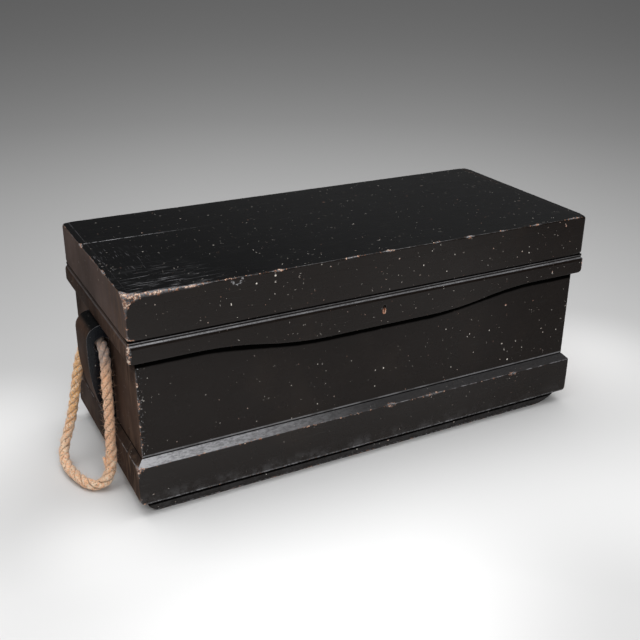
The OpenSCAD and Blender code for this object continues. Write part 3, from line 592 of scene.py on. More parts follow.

# %% [markdown]
# ## Black paint over pine
# The chest was painted black more than once. Where hands, hoops and other chests have rubbed it, the
# paint is gone along the arrises, and the wood shows orange, pink and cream, with a silver-grey
# undercoat beside it. On the flat faces there are only small chips, like stars, and faint scratches.
# Chips painted by hand would have to be done again for each change of size, so they are worked out. A
# mask for the arrises needs the distance to the nearest arris of a box: with a, b and c the distances
# to the three pairs of faces, it is the middle one of the three. One function makes the paint for each
# part, with that part's own box and list of rubbed places.
# Some parts also get painted highlights on arrises and mouldings, and painted shade in gaps.

# %% Colours of the paint and of what shows through it
BLACK = (0.0086, 0.0055, 0.0042)
BLACK_COOL = (0.0036, 0.0037, 0.0040)
BLACK_BROWN = (0.013, 0.0085, 0.0062)
BLACK_NAVY = (0.0040, 0.0056, 0.0085)
# Near black of painted shade in gaps and under overhangs
PAINTED_SHADE_BLACK = (0.0015, 0.0014, 0.0013)
END_COLOURS = ((0.074, 0.045, 0.034), (0.032, 0.0205, 0.0160))
LID_END_COLOURS = ((0.112, 0.080, 0.070), (0.068, 0.050, 0.045))
GRAIN_PALE = (0.022, 0.021, 0.021)
GRAIN_OCHRE = (0.065, 0.036, 0.022)
END_BRUSHED = (0.135, 0.085, 0.058)
# Grey of the undercoat, used for painted highlights as well
UNDERCOAT_AND_HIGHLIGHT_GREY = (0.45, 0.45, 0.47)
CREAM = (0.66, 0.56, 0.46)
STAR_WHITE = (0.76, 0.71, 0.65)
PINK_WOOD = (0.50, 0.27, 0.20)
ORANGE_WOOD = (0.36, 0.13, 0.045)
PINE, PINE_LATE, PINE_AGED = (0.50, 0.31, 0.155), (0.33, 0.17, 0.07), (0.36, 0.21, 0.105)
print("paint is", round(UNDERCOAT_AND_HIGHLIGHT_GREY[0] / BLACK[0]), "times darker than its undercoat")

# %% Distances, grain and bare pine
def arris_distance(f, low, high):
    """Distances in millimetres to the box's nearest arris and to its nearest face."""
    centre, half = (low + high) / 2, (high - low) / 2
    a, b, c = (h - abs(part - m) for part, m, h in zip((f.x, f.y, f.z), centre.tolist(), half.tolist()))
    return f.most(f.least(a, b), f.least(f.most(a, b), c)), f.least(a, b, c)


def along_board(f, long_axis, across, along):
    """The place drawn out along the board, for grain."""
    stretch = [across, across, across]
    stretch["XYZ".index(long_axis)] = along
    return f.stretched(*stretch)


def pine_colour(f, long_axis):
    """Bare pine, and its rings: they are drawn out along the board, with darker late wood and patches
    of age."""
    rings = f.value("ShaderNodeTexWave", "Fac",
                    {"Vector": along_board(f, long_axis, 0.045, 0.003), "Scale": 2.2, "Distortion": 5.0,
                     "Detail": 3.0, "Detail Scale": 1.4, "Detail Roughness": 0.6},
                    bands_direction="DIAGONAL", wave_profile="SAW")
    aged = f.step(f.noise(70, 4.0), 0.35, 0.75, 0.0, 0.55)
    return f.layers(PINE, (rings**2.2, PINE_LATE), (aged, PINE_AGED)), rings


print("the paint's grain runs along", "XYZ"[int(np.argmax(lid_high - lid_low))])

# %% Chips like stars
STARS = ((17.0, 1.0, 1.0, 1.75), (29.0, 1.0, 0.30, 1.5), (36.0, 0.22, 1.0, 1.2))
STAR_POWER = 7.0
STAR_SHIFT = (137.0, 59.0)
TOP_SHARE = 0.36
STROKE_PATCH, STROKE_WIDTH = 13.0, 0.022


def face_place(f):
    """The place on the face itself: x and z on a front, x and y on a top, y and z on an end."""
    on_end, on_top = abs(f.facing[0]), abs(f.facing[2])
    return f.x + on_end * (f.y - f.x), f.z + on_top * (f.y - f.z)


def strokes(f, gain):
    """Short curved scratches: the line where one noise passes its middle value, kept in the patches of
    another.

    A larger gain makes the patches larger."""
    rarity = 0.725 - gain * 0.055
    patch = f.step(f.noise(0.45 * STROKE_PATCH, 2.0), rarity, rarity + 0.03)
    return f.line_at(f.noise(STROKE_PATCH, 1.0), 0.5, STROKE_WIDTH) * patch


def paint_stars(f, share, crowds=()):
    """Small chips on the faces: round ones, upright dashes, level dashes and curved strokes. They are
    more at the crowded places, and few on tops, which nothing knocks against.

    Each cell of a flat pattern holds one chip, whose radius is a high power of the cell's random
    number, so that most cells show none. A kind of chip is its cell's size, how much it is squeezed in
    width and in height, and its largest radius."""
    u, v = face_place(f)
    nibble = f.noise(1.3, 2.0) * 0.8
    gain = f.step(f.noise(110, 2.0), 0.35, 0.65, 0.65 * share, 1.15 * share)
    for place, reach in crowds:
        gain = gain + f.spot(place, reach) * 0.5
    chips = strokes(f, gain) * 0.5
    gain = gain * f.step(f.facing[2], 0.6, 0.9, 1.0, TOP_SHARE)
    for number, (size, wide, tall, largest) in enumerate(STARS):
        flat = f.vector(u * wide + number * STAR_SHIFT[0], v * tall + number * STAR_SHIFT[1])
        cells = f.node("ShaderNodeTexVoronoi", {"Vector": flat, "Scale": 1 / size}, voronoi_dimensions="2D")
        distance = Value(f, cells.outputs["Distance"]) * size
        chance = f.parts(Value(f, cells.outputs["Color"]))[0]
        radius = chance**STAR_POWER * (gain * largest)
        chips = f.most(f.step(radius - (distance + nibble), -0.10, 0.14), chips)
    return chips


print(len(STARS), "kinds of stars, in cells of", [kind[0] for kind in STARS], "mm")

# %% Coat, undercoat and chipped wood
def black_coat(f, sideways, upward, long_axis, front, ends):
    """The coat itself, and its grain: black, cooler on top, brown at the ends, with thin places."""
    cloud = f.noise(120)
    brushed = f.step(f.noise(9.0, 4.0, f.stretched(1.0, 1.0, 0.15)), 0.44, 0.64)
    coat = f.layers(
        BLACK,
        (f.step(cloud, 0.50, 0.75, 0.0, 0.9), BLACK_BROWN),
        (upward, BLACK_COOL),
        (sideways, f.blend(f.step(cloud, 0.3, 0.7), *ends)),
        (sideways * (brushed * f.step(f.y, -60.0, -180.0, 0.15, 0.75)), END_BRUSHED))
    if front:
        coat = f.blend(f.step(f.facing[1], -0.8, -0.95), coat, front)
    grain = f.noise(1.0, 4.0, along_board(f, long_axis, 0.5, 0.02))
    streak = f.step(grain, 0.56, 0.8) * f.step(cloud, 0.3, 0.6, 0.25, 0.8)
    return f.blend(streak, coat, f.blend(sideways, GRAIN_PALE, GRAIN_OCHRE)), grain


def undercoat_and_arris_highlight(f, arris, worn, long_axis):
    """How much silver undercoat shows beside the arris, and a pale line on top of the arris that is partly
    worn undercoat and partly a painted highlight, in fine lines along the board."""
    torn = f.step(f.noise(3.0, roughness=0.75), 0.36, 0.56, 0.3, 1.0)
    beside = f.step(worn, 0.4, 3.5, 0.0, 0.9) * f.step(f.facing[2], 0.15, 0.8, 0.4, 1.0) * torn
    # A pale line on top of the arris: partly worn undercoat, partly a painted highlight
    on_top = f.step(arris, 0.2, 1.2, 0.7, 0.0) * f.step(f.facing[2], 0.2, 0.6)
    on_top = on_top * f.step(f.noise(19), 0.4, 0.6)
    lines = f.noise(1.2, 4.0, along_board(f, long_axis, 1.0, 0.16), roughness=0.65)
    return f.most(beside, on_top) * f.step(lines, 0.38, 0.60, 0.15, 1.0)


def chipped_wood(f, worn):
    """Where the paint is chipped to the wood, and the wood's colour: the patches are islands of a
    noise, orange at their shores and cream on their heights."""
    above = f.noise(4.6, 5.0, roughness=0.68) - f.step(worn, 0.0, 7.0, 0.585, 0.48)
    higher, highest = f.step(above, 0.025, 0.05), f.step(above, 0.045, 0.09)
    wood = f.layers(ORANGE_WOOD, (higher, PINK_WOOD), (highest, CREAM))
    return f.step(above, 0.0, 0.02) * f.step(worn, -0.2, 0.4), wood


def coat_shine(f, dull, upward, painted_shade, gloss):
    """The coat's shine: dull where it is bare, less on top, most so at the left, less at the far right,
    and almost none where shade is painted."""
    on_top = upward * f.step(f.x, -430.0, 150.0, 0.88, 0.58)
    to_right = (1.0 - upward) * f.step(f.x, 150.0, 400.0, 0.0, 0.4)
    return f.step(dull, 0.0, 0.8, gloss, 0.01) * (1.0 - (on_top + to_right)) * (1.0 - painted_shade)


print("coat, undercoat and wood are ready to be laid over each other")

# %% Worn paint for one part
def worn_paint(name, low, high, rubs=(), arris_rub=0.5, stars=1.0, long_axis="X", moulded=False,
               hollow=False, crowds=(), grey_wear_and_highlights=None, painted_shade_at=None, gloss=0.25, front=None,
               ends=END_COLOURS):
    """Black paint on one part. low and high are the part's box, rubs are (place, reach, gain) of worn
    arrises, and arris_rub is how far the wear reaches in from the other ones. stars is how many chips
    there are, and crowds are (place, reach) of the places that have more. A moulded part brings its own
    distance to an arris, and a hollow one is bare pine inside. Two functions may be given: one says where
    it is grey, from worn undercoat and from painted highlights, and the other says where shade is
    painted, as near black painted shadows and dark painted lines in gaps. front is the colour of the
    faces turned to the front, where it differs, and ends are the two browns of the ends."""
    f = Finish(name)
    arris, inside = arris_distance(f, low, high)
    if moulded:
        arris = f.least(arris, f.attribute("arris_mm"))
    sideways = f.step(abs(f.facing[0]), 0.55, 0.85)
    upward = f.step(f.facing[2], 0.5, 0.9)
    coat, grain = black_coat(f, sideways, upward, long_axis, front, ends)

    # How far the wear reaches in from the arris: a little everywhere, and more where it is rubbed
    reach = f.step(f.noise(28), 0.47, 0.74, 0.25 * arris_rub, 2.0 * arris_rub)
    for place, spread, gain in rubs:
        reach = reach + f.spot(place, spread) * gain
    worn = reach - arris
    # Grey from worn undercoat and, on some parts, painted highlights
    grey = undercoat_and_arris_highlight(f, arris, worn, long_axis)
    if grey_wear_and_highlights:
        grey = f.most(grey, grey_wear_and_highlights(f))

    chipped, wood = chipped_wood(f, worn)
    star = paint_stars(f, stars, crowds) * f.step(sideways, 0.0, 1.0, 1.0, 0.45)
    star_colour = f.blend(f.step(f.noise(9, 2.0), 0.36, 0.48), PINK_WOOD, STAR_WHITE)
    # Painted shade: near black painted shadows and dark painted lines in gaps, where the part has them
    painted_shade = painted_shade_at(f) if painted_shade_at else 0.0
    colour = f.layers(coat, (grey, UNDERCOAT_AND_HIGHLIGHT_GREY), (star, star_colour), (chipped, wood), (painted_shade, PAINTED_SHADE_BLACK))
    bare = f.most(chipped, star)
    if hollow:
        unpainted = f.step(inside, 3.0, 4.0)
        colour = f.blend(unpainted, colour, pine_colour(f, long_axis)[0])
        bare = f.most(bare, unpainted)

    height = grain * 0.07 + f.noise(90, 2.0) * 0.7 + f.noise(6) * 0.07 - chipped * 0.35 - star * 0.2
    dull = f.most(bare, sideways * 0.8)
    roughness = f.step(f.noise(45, 4.0), 0.3, 0.7, 0.20, 0.32) + dull * 0.4
    shine = coat_shine(f, dull, upward, painted_shade, gloss)
    paint = f.surface(colour, roughness, height, Specular_IOR_Level=shine)
    print(name, "has", len(f.tree.nodes), "nodes and", len(rubs), "rubbed places")
    return paint


# %% Paint of the lid
LEFT, RIGHT = float(lid_low[0]), float(lid_high[0])
FRONT, TOP, LID_FOOT = float(lid_low[1]), float(lid_high[2]), float(lid_low[2])
LID_RUBS = [
    ((LEFT, FRONT, TOP), 36.0, 16.0), ((LEFT + 45, FRONT, TOP), 60.0, 7.0),
    ((LEFT + 105, FRONT, TOP), 60.0, 4.6), ((LEFT, FRONT, LID_FOOT), 24.0, 9.0),
    ((LEFT, FRONT, 372.0), 14.0, 5.0), ((LEFT, FRONT, 352.0), 10.0, 4.5), ((LEFT, -82.0, TOP), 22.0, 5.0),
    ((LEFT, 61.0, TOP), 22.0, 6.0), ((LEFT, -20.0, TOP), 50.0, 2.5), ((LEFT, -144.0, TOP), 16.0, 3.0),
    ((-272.0, FRONT, TOP), 90.0, 2.4), ((-196.0, FRONT, TOP), 18.0, 4.5), ((-60.0, FRONT, TOP), 36.0, 3.6),
    ((12.0, FRONT, TOP), 20.0, 5.0), ((182.0, FRONT, TOP), 18.0, 5.5), ((112.0, FRONT, TOP), 14.0, 4.0),
    ((255.0, FRONT, TOP), 18.0, 3.5), ((335.0, FRONT, TOP), 30.0, 3.5), ((427.0, FRONT, TOP), 36.0, 3.5),
    ((RIGHT, FRONT, LID_FOOT), 26.0, 4.0),
]
LID_CROWDS = [((-330.0, -150.0, TOP), 110.0), ((LEFT + 20, -60.0, TOP), 100.0),
              ((60.0, FRONT, 370.0), 130.0), ((350.0, FRONT, 380.0), 120.0),
              ((-150.0, FRONT, 370.0), 120.0)]
LONG_SCUFFS, CROSS_SCUFFS = (-385.0, -178.0, TOP), (LEFT + 18, -40.0, TOP)
DENT, DENT_RADIUS = (-272.0, FRONT, 403.0), 9.0
STRIP_JOINT, PLANK_JOINT, _ = box_mm("lid_front_plank")[1].tolist()


def lid_grey(f):
    """Grey on the lid: the joint of its planks, worn bright at the left, the joint of its end, scuffs
    near the front left corner, and the ragged ring of a dent."""
    broken = f.step(f.noise(9, 4.0, roughness=0.7), 0.36, 0.56)
    joint = f.line_at(f.y, PLANK_JOINT, 1.3) * f.step(f.x, -440.0, -200.0, 0.75, 0.0)
    strip = f.line_at(abs(f.x), STRIP_JOINT, 0.9) * f.step(f.y, 40.0, 120.0, 0.03, 0.10)
    lengthwise = f.step(f.noise(2.4, 3.0, f.stretched(0.05, 1.0, 1.0), 0.6), 0.56, 0.70, 0.0, 0.42)
    crosswise = f.step(f.noise(2.6, 3.0, f.stretched(1.0, 0.08, 1.0), 0.6), 0.60, 0.72, 0.0, 0.25)
    scuffs = f.most(lengthwise * f.spot(LONG_SCUFFS, 125.0), crosswise * f.spot(CROSS_SCUFFS, 110.0))
    lines = f.most(broken * f.most(joint, strip), scuffs) * f.step(f.facing[2], 0.7, 0.95)
    from_dent = f.distance(DENT) + f.step(f.noise(5), 0.3, 0.7, -1.6, 1.6)
    ring = f.line_at(from_dent, DENT_RADIUS, 2.0) * f.step(f.facing[2], 0.3, 0.8, 0.6, 0.0)
    return f.most(ring * f.step(f.noise(4), 0.46, 0.58, 0.1, 1.0), lines)


def lid_gap_painted_shade(f):
    """Painted shade: a dark painted line along the lid's foot, next to the gap between the lid and the
    band.
    """
    outside = f.most(f.step(f.y, FRONT + 3.0, FRONT + 1.0), f.step(abs(f.x), RIGHT - 4.5, RIGHT - 1.5))
    return outside * f.step(f.z, LID_FOOT + 1.2, LID_FOOT + 2.6, 0.9, 0.0)


lid_paint = worn_paint("black_paint_lid", lid_low, lid_high, LID_RUBS, arris_rub=1.0, hollow=True,
                       crowds=LID_CROWDS, grey_wear_and_highlights=lid_grey, painted_shade_at=lid_gap_painted_shade, gloss=0.23,
                       ends=LID_END_COLOURS)

# %% Paint of the carcass
BAND_END_HEIGHT, BAND_MIDDLE_HEIGHT, SCROLL_START, SCROLL_RUN = 38.0, 61.0, 110.0, 245.0
BAND_TOP, PLINTH_TOP = float(band_high[2]), float(plinth_high[2])
CORNER_X, CORNER_Y = float(carcass_low[0]), float(carcass_low[1])
CARCASS_RUBS = [((CORNER_X, CORNER_Y, 210.0), 24.0, 5.5), ((CORNER_X, CORNER_Y, 130.0), 45.0, 3.0),
                ((CORNER_X, CORNER_Y, 255.0), 30.0, 3.5), ((CORNER_X, CORNER_Y, 172.0), 14.0, 4.0)]
CARCASS_CROWDS = [((125.0, CORNER_Y, 215.0), 75.0), ((250.0, CORNER_Y, 220.0), 160.0),
                  ((-430.0, CORNER_Y, 230.0), 60.0), ((CORNER_X, CORNER_Y, 215.0), 45.0),
                  ((CORNER_X, CORNER_Y, 215.0), 30.0), ((CORNER_X, CORNER_Y, 140.0), 55.0),
                  ((CORNER_X, CORNER_Y, 140.0), 35.0)]
NO_LOWER_ARRIS = np.array((0.0, 0.0, 200.0))


def carcass_painted_highlight_and_nicks(f):
    """A painted highlight in a thin pale line on the front, just above the plinth, and pale nicks beside
    the front's left arris."""
    line = f.line_at(f.z, PLINTH_TOP + 3.4, 1.9) * f.step(f.noise(40, 4.0), 0.35, 0.6, 0.16, 0.42)
    nicks = f.step(f.noise(3.6, roughness=0.7), 0.61, 0.65, 0.0, 0.8)
    nicks = nicks * f.step(f.x, CORNER_X + 12.0, CORNER_X + 3.0)
    return f.most(line, nicks) * f.step(f.facing[1], -0.5, -0.8)


def carcass_painted_shade(f):
    """Painted shade on the front: a painted shadow in a strip under the band that follows the scroll of
    its foot, and a dark painted line in the crease above the plinth."""
    scroll_end = RIGHT - SCROLL_START
    foot = f.step(abs(f.x), scroll_end - SCROLL_RUN, scroll_end,
                  BAND_TOP - BAND_MIDDLE_HEIGHT, BAND_TOP - BAND_END_HEIGHT)
    below = (foot - f.z) + f.noise(24, 2.0) * 2.0
    strip = f.step(below, 14.0, 18.0, 1.0, 0.0)
    line = f.step(f.z, PLINTH_TOP + 1.2, PLINTH_TOP + 1.8, 0.9, 0.0)
    return f.most(strip, line) * f.step(f.facing[1], -0.5, -0.8)


carcass_paint = worn_paint("black_paint_carcass", carcass_low - NO_LOWER_ARRIS, carcass_high, CARCASS_RUBS,
                           arris_rub=1.1, hollow=True, crowds=CARCASS_CROWDS, grey_wear_and_highlights=carcass_painted_highlight_and_nicks,
                           painted_shade_at=carcass_painted_shade, gloss=0.16)

# %% [markdown]
# ## Boards with rubbed arrises
# A new board has sharp arrises, and a board that has been knocked about for a century has none. A bevel
# would round all of them alike, so the boards are built from a lattice instead: its lines stand close
# together near the arrises, and each point there is pulled onto a ball that rolls along the inside of
# the lid. The ball's radius changes from place to place, so that the front left corner, where the chest
# was dragged about, is the most worn.

# %% Lattice boards
NEAR_ARRIS = np.array([0.0, 0.5, 1.0, 1.6, 2.4, 3.4, 4.8, 6.2])


def grid_lines(low, high, step, fine=(True, True), extra=()):
    """Places of a lattice's lines in one direction: even steps inside, close together near a worn
    arris."""
    ends = [low + NEAR_ARRIS[:None if fine[0] else 1], high - NEAR_ARRIS[:None if fine[1] else 1]]
    a, b = ends[0].max(), ends[1].min()
    inner = np.linspace(a, b, max(2, math.ceil((b - a) / step) + 1))
    return np.unique(np.round(np.concatenate([*ends, inner, extra]), 3))


def whole(x, y, z):
    """The cells of a plain board: all of them are filled."""
    return np.full(x.shape, True)


def lattice_skin(xs, ys, zs, filled=whole):
    """Skin of the filled cells of a lattice: one quad wherever a filled cell meets an empty one."""
    counts = (len(xs), len(ys), len(zs))
    middles = [(v[1:] + v[:-1]) / 2 for v in (xs, ys, zs)]
    solid = np.pad(filled(*np.meshgrid(*middles, indexing="ij")), 1).astype(int)
    number = np.arange(np.prod(counts)).reshape(counts)
    quads = []
    for axis in range(3):
        a, b = (axis + 1) % 3, (axis + 2) % 3
        keep = [slice(1, -1)] * 3
        keep[axis] = slice(None)
        change = np.diff(solid, axis=axis)[tuple(keep)]
        for sign, order in ((-1, (0, 1, 2, 3)), (1, (3, 2, 1, 0))):
            cell = np.stack(np.nonzero(change == sign))
            corners = []
            for da, db in ((0, 0), (1, 0), (1, 1), (0, 1)):
                corner = cell.copy()
                corner[a] += da
                corner[b] += db
                corners.append(number[tuple(corner)])
            quads.append(np.stack([corners[k] for k in order], axis=1))
    used, faces = np.unique(np.vstack(quads), return_inverse=True)
    i, j, k = np.unravel_index(used, counts)
    return np.stack([xs[i], ys[j], zs[k]], axis=1), faces.reshape(-1, 4)


print("lines near an arris, in mm:", NEAR_ARRIS)

# %% Worn boards of the lid
LID_ROUND, LARGEST_ROUND = 2.0, 7.5
CORNER_ROUND, CORNER_FADE = 6.5, 22.0


def round_over(points, low, high, radius):
    """Rounds a box's arrises: q is the point clamped to the box shrunk by r, and a point further than r
    from q moves to q + r (p - q) / |p - q|."""
    r = np.broadcast_to(radius, points.shape[:1])[:, None]
    q = np.clip(points, low + r, high - r)
    away = points - q
    size = np.linalg.norm(away, axis=1, keepdims=True)
    return np.where(size > r, q + away * r / np.maximum(size, 1e-9), points)


def worn_radius(points):
    """Radius of the lid's arris at each point: a slow and a quick noise, and more near each rubbed
    place and at the upright corners."""
    radius = LID_ROUND * (0.55 + 0.7 * lattice_noise(points, 26, 5) + 0.45 * lattice_noise(points, 5, 6))
    for place, reach, gain in LID_RUBS:
        near = np.clip(1 - np.linalg.norm(points - np.array(place), axis=1) / reach, 0, 1)
        radius = radius + 0.26 * gain * near * (0.4 + lattice_noise(points, 3.5, 7))
    from_corner = np.linalg.norm(np.abs(points[:, :2]) - np.abs(lid_high[:2]), axis=1)
    corner = CORNER_ROUND * np.clip(1 - (from_corner - CORNER_ROUND) / CORNER_FADE, 0, 1)
    return np.minimum(np.maximum(radius, corner), LARGEST_ROUND)


def lid_board(name, lines, slot, node, filled=whole, ease=0.0):
    """A board of the lid: its own arrises eased by a hair, and the lid's arrises worn round."""
    points, faces = lattice_skin(*lines, filled)
    if ease:
        points = round_over(points, points.min(axis=0), points.max(axis=0), ease)
    points = round_over(points, lid_low, lid_high, worn_radius(points))
    return make_piece(name, points, faces, "lid", slot, lid_paint, replaces=(node,))


plank_low, plank_high = box_mm("lid_front_plank")
back_plank_high = box_mm("lid_back_plank")[1]
PLANK_FOOT, PLANK_EASE = plank_low[2], 0.45
x_lines = grid_lines(plank_low[0], plank_high[0], 2.5, (False, False))
z_lines = grid_lines(PLANK_FOOT, TOP, 4)
lid_board("lid_top_front_plank", (x_lines, grid_lines(FRONT, plank_high[1], 12), z_lines), "black_paint",
          "lid_front_plank", ease=PLANK_EASE)
lid_board("lid_top_back_plank", (x_lines[::2], grid_lines(plank_high[1], back_plank_high[1], 12), z_lines),
          "black_paint", "lid_back_plank", ease=PLANK_EASE)

# %% End rims and front rim of the lid
rim_low, rim_high = box_mm("lid_front_rim")
link_low, link_high = box_mm("lid_link_plate")
y_lines = grid_lines(lid_low[1], lid_high[1], 2.5)
tall_lines = grid_lines(LID_FOOT, TOP, 3.0, extra=[PLANK_FOOT])


def rebated(x, y, z):
    """An end rim: full height outside the planks, and only up to them inside."""
    return (np.abs(x) > abs(plank_low[0])) | (z < PLANK_FOOT)


def above_link(x, y, z):
    """The front rim: everything but the shallow seat of the link plate."""
    seat = (x > link_low[0]) & (x < link_high[0]) & (y > link_low[1]) & (y < link_high[1])
    return ~(seat & (z < link_high[2]))


for side, name in ((-1, "left"), (1, "right")):
    outer, rebate, inner = (side * abs(v) for v in (LEFT, plank_low[0], rim_low[0]))
    across = np.sort(np.append(grid_lines(*sorted((outer, rebate)), 3.0), inner))
    lid_board(f"lid_{name}_end_rim", (across, y_lines, tall_lines), "brown_black_paint", f"lid_{name}_rim",
              rebated)
lid_board("lid_front_rim_board",
          (grid_lines(rim_low[0], rim_high[0], 3.0, (False, False), [link_low[0], link_high[0]]),
           grid_lines(rim_low[1], rim_high[1], 6.0, extra=[link_low[1], link_high[1]]),
           grid_lines(rim_low[2], rim_high[2], 6.0, (True, False), [link_high[2]])),
          "black_paint", "lid_front_rim", above_link)

# %% [markdown]
# ## Joined boards
# The carcass boards, the till and the lid's back rim carry dovetails, mortises and hinge seats that are
# already cut in the solids. Drawing them again would only risk a mistake, so a copy of each solid's
# mesh is cleaned instead: its doubled points are merged, flat faces are made whole, and a fine bevel
# gives every joint its hairline.

# %% Eased copies of the solids
def eased_copy(node, name, body, finish, ease=0.35, segments=2):
    """A merged copy of a solid's mesh with a small live bevel on its arrises."""
    mesh = nodes[node].data.copy()
    mesh.name = name
    work = bmesh.new()
    work.from_mesh(mesh)
    bmesh.ops.remove_doubles(work, verts=work.verts, dist=1e-6)
    bmesh.ops.dissolve_limit(work, angle_limit=math.radians(0.2), verts=work.verts, edges=work.edges)
    work.to_mesh(mesh)
    work.free()
    piece = hang(name, mesh, body, finish, replaces=(node,), sharp=35)
    bevel = piece.modifiers.new("eased", "BEVEL")
    bevel.width = ease * MM
    bevel.segments = segments
    bevel.limit_method = "ANGLE"
    bevel.angle_limit = math.radians(40)
    return piece


for node in CARCASS:
    slot = "brown_black_paint" if "end" in node else "black_paint"
    eased_copy(node, f"carcass_{node}", "chest", carcass_paint)
eased_copy("lid_back_rim", "lid_back_rim_board", "lid", lid_paint)

# %% Bare pine inside
PINE_GRIME = (0.20, 0.125, 0.07)
PINE_EASE = 0.5


def bare_pine(name, long_axis, painted_from=1e4):
    """Unpainted pine, a little dusty, with its rings in the bump. Ends that lie further back than
    painted_from were painted over together with the chest's outside."""
    f = Finish(name)
    pine, rings = pine_colour(f, long_axis)
    grime = f.step(f.noise(40, 4.0), 0.5, 0.8, 0.0, 0.5)
    painted = f.step(f.y, painted_from, painted_from + 0.3)
    scratch = f.noise(1.0, 3.0, along_board(f, long_axis, 0.9, 0.03))
    return f.surface(f.layers(pine, (grime, PINE_GRIME), (painted, BLACK_BROWN)),
                     f.step(scratch, 0.3, 0.7, 0.55, 0.75), rings * 0.06 + scratch * 0.10,
                     Specular_IOR_Level=0.3)


pine_x, pine_y = bare_pine("bare_pine_lengthwise", "X"), bare_pine("bare_pine_crosswise", "Y")
for node in ("till_front", "till_back", "till_bottom"):
    eased_copy(node, f"{node}_board", "till", pine_x, PINE_EASE)
for node in ("till_left_end", "till_right_end", "till_dividers"):
    eased_copy(node, f"{node}_board", "till", pine_y, PINE_EASE)
for node in ("left_till_strip", "right_till_strip"):
    eased_copy(node, f"{node}_wood", "chest", pine_y, PINE_EASE)
bottom_end = float(box_mm("bottom_boards")[1][1])
eased_copy("bottom_boards", "bottom_boards_wood", "chest",
           bare_pine("bare_pine_bottom", "Y", bottom_end - 1.0), PINE_EASE)

# %% [markdown]
# ## Plinth and band
# Both are mouldings: one outline carried round three sides and mitred at the corners. As a surface, a
# moulding is its outline for one parameter and the way along the wall for the other, and the mitre
# comes by itself when a board's end lies at its wall's end plus the outline's own distance out. The
# front band's foot is cut to a scroll, so there the height of the foot is a function of the way along.

# %% Outlines of the mouldings
NEVER_WORN = 20.0
WALL_X, WALL_Y, BACK_Y = carcass_high[0], -carcass_low[1], carcass_high[1]
PLINTH_OUT, PLINTH_FOOT, CHAMFER = plinth_high[0] - WALL_X, plinth_low[2], 11.5
BAND_OUT, BAND_FOOT = band_high[0] - WALL_X, BAND_TOP - BAND_END_HEIGHT
FOOT_CORNER = 9.0
FILLET, FILLET_SETBACK, NOSE, QUIRK, NOSE_ANGLE = 4.0, 3.0, 8.0, 1.0, 58.0


def arc(middle, radius, start, end, count):
    """Points middle + radius (cos a, sin a), the angle a running from start to end in degrees."""
    a = np.radians(np.linspace(start, end, count))
    return np.asarray(middle) + radius * np.stack([np.cos(a), np.sin(a)], axis=1)


def rounded_foot(out, foot):
    """Corners of a foot that is rounded up to its face: a quarter circle in six steps."""
    return arc((out - FOOT_CORNER, foot + FOOT_CORNER), FOOT_CORNER, -90, 0, 7)


def corner_rise(x, end):
    """How far a front board's foot rises towards its rounded end: r - sqrt(r^2 - t^2), t the way into
    it."""
    past = np.clip(np.abs(x) - (end - FOOT_CORNER), 0, FOOT_CORNER)
    return FOOT_CORNER - np.sqrt(FOOT_CORNER**2 - past**2)


def eased_outline(corners, ease, worn=()):
    """A closed outline with every corner rounded by a short curve, and each point's distance to a worn
    corner.

    The curve at corner P runs from S to E, both at the easing's distance: (1-t)^2 S + 2t(1-t) P + t^2
    E. The worn corners are pairs of a corner's number and a distance that is added there, so that it is
    worn less."""
    corners = np.asarray(corners, float)
    t = np.linspace(0, 1, 5)[:, None]
    points = []
    for before, at, after in zip(np.roll(corners, 1, axis=0), corners, np.roll(corners, -1, axis=0)):
        back, ahead = np.linalg.norm(before - at), np.linalg.norm(after - at)
        start = at + (before - at) * min(0.45, ease / back)
        end = at + (after - at) * min(0.45, ease / ahead)
        points.append((1 - t) ** 2 * start + 2 * t * (1 - t) * at + t**2 * end)
        shares = np.array([s for s in (3.0, 6.0, ahead / 2, ahead - 6.0, ahead - 3.0)
                           if 1.6 * ease < s < ahead - 1.6 * ease])
        points.append(at + (after - at) * np.unique(np.round(shares / ahead, 4))[:, None])
    outline = np.vstack([p for p in points if len(p)])
    distance = np.full(len(outline), NEVER_WORN)
    for number, added in worn:
        from_corner = np.linalg.norm(outline - corners[number], axis=1)
        distance = np.minimum(distance, np.maximum(0, from_corner - ease) + added)
    return outline, distance


chamfer_points = [(PLINTH_OUT, PLINTH_TOP - CHAMFER), (PLINTH_OUT - CHAMFER, PLINTH_TOP), (0, PLINTH_TOP)]
nose_height = BAND_TOP - FILLET - NOSE - QUIRK
nose_points = arc((BAND_OUT - NOSE, nose_height), NOSE, NOSE_ANGLE, 0, 9)
band_upper = [(0, BAND_TOP), (BAND_OUT - FILLET_SETBACK, BAND_TOP),
              (BAND_OUT - FILLET_SETBACK, BAND_TOP - FILLET), *nose_points[::4]]
print("plinth", PLINTH_OUT, "mm thick, band", BAND_OUT, "mm thick")

# %% Mouldings carried round the carcass
FRONT_SHARES = np.linspace(-1, 1, 361)[:, None]
SIDE_SHARES = np.linspace(0, 1, 151)[:, None]
FAR = 1e4


def front_way(outline):
    """Points of a front board: x = s (wall's end + distance out), so that s = 1 is the mitre."""
    out, z = outline.T
    return np.stack(np.broadcast_arrays(FRONT_SHARES * (WALL_X + out), -WALL_Y - out, z), axis=2)


def side_way(outline, side):
    """Points of a side board: y runs from the mitre at s = 0 to the back at s = 1."""
    out, z = outline.T
    y = -WALL_Y - out + SIDE_SHARES * (BACK_Y + WALL_Y + out)
    return np.stack(np.broadcast_arrays(side * (WALL_X + out), y, z), axis=2)


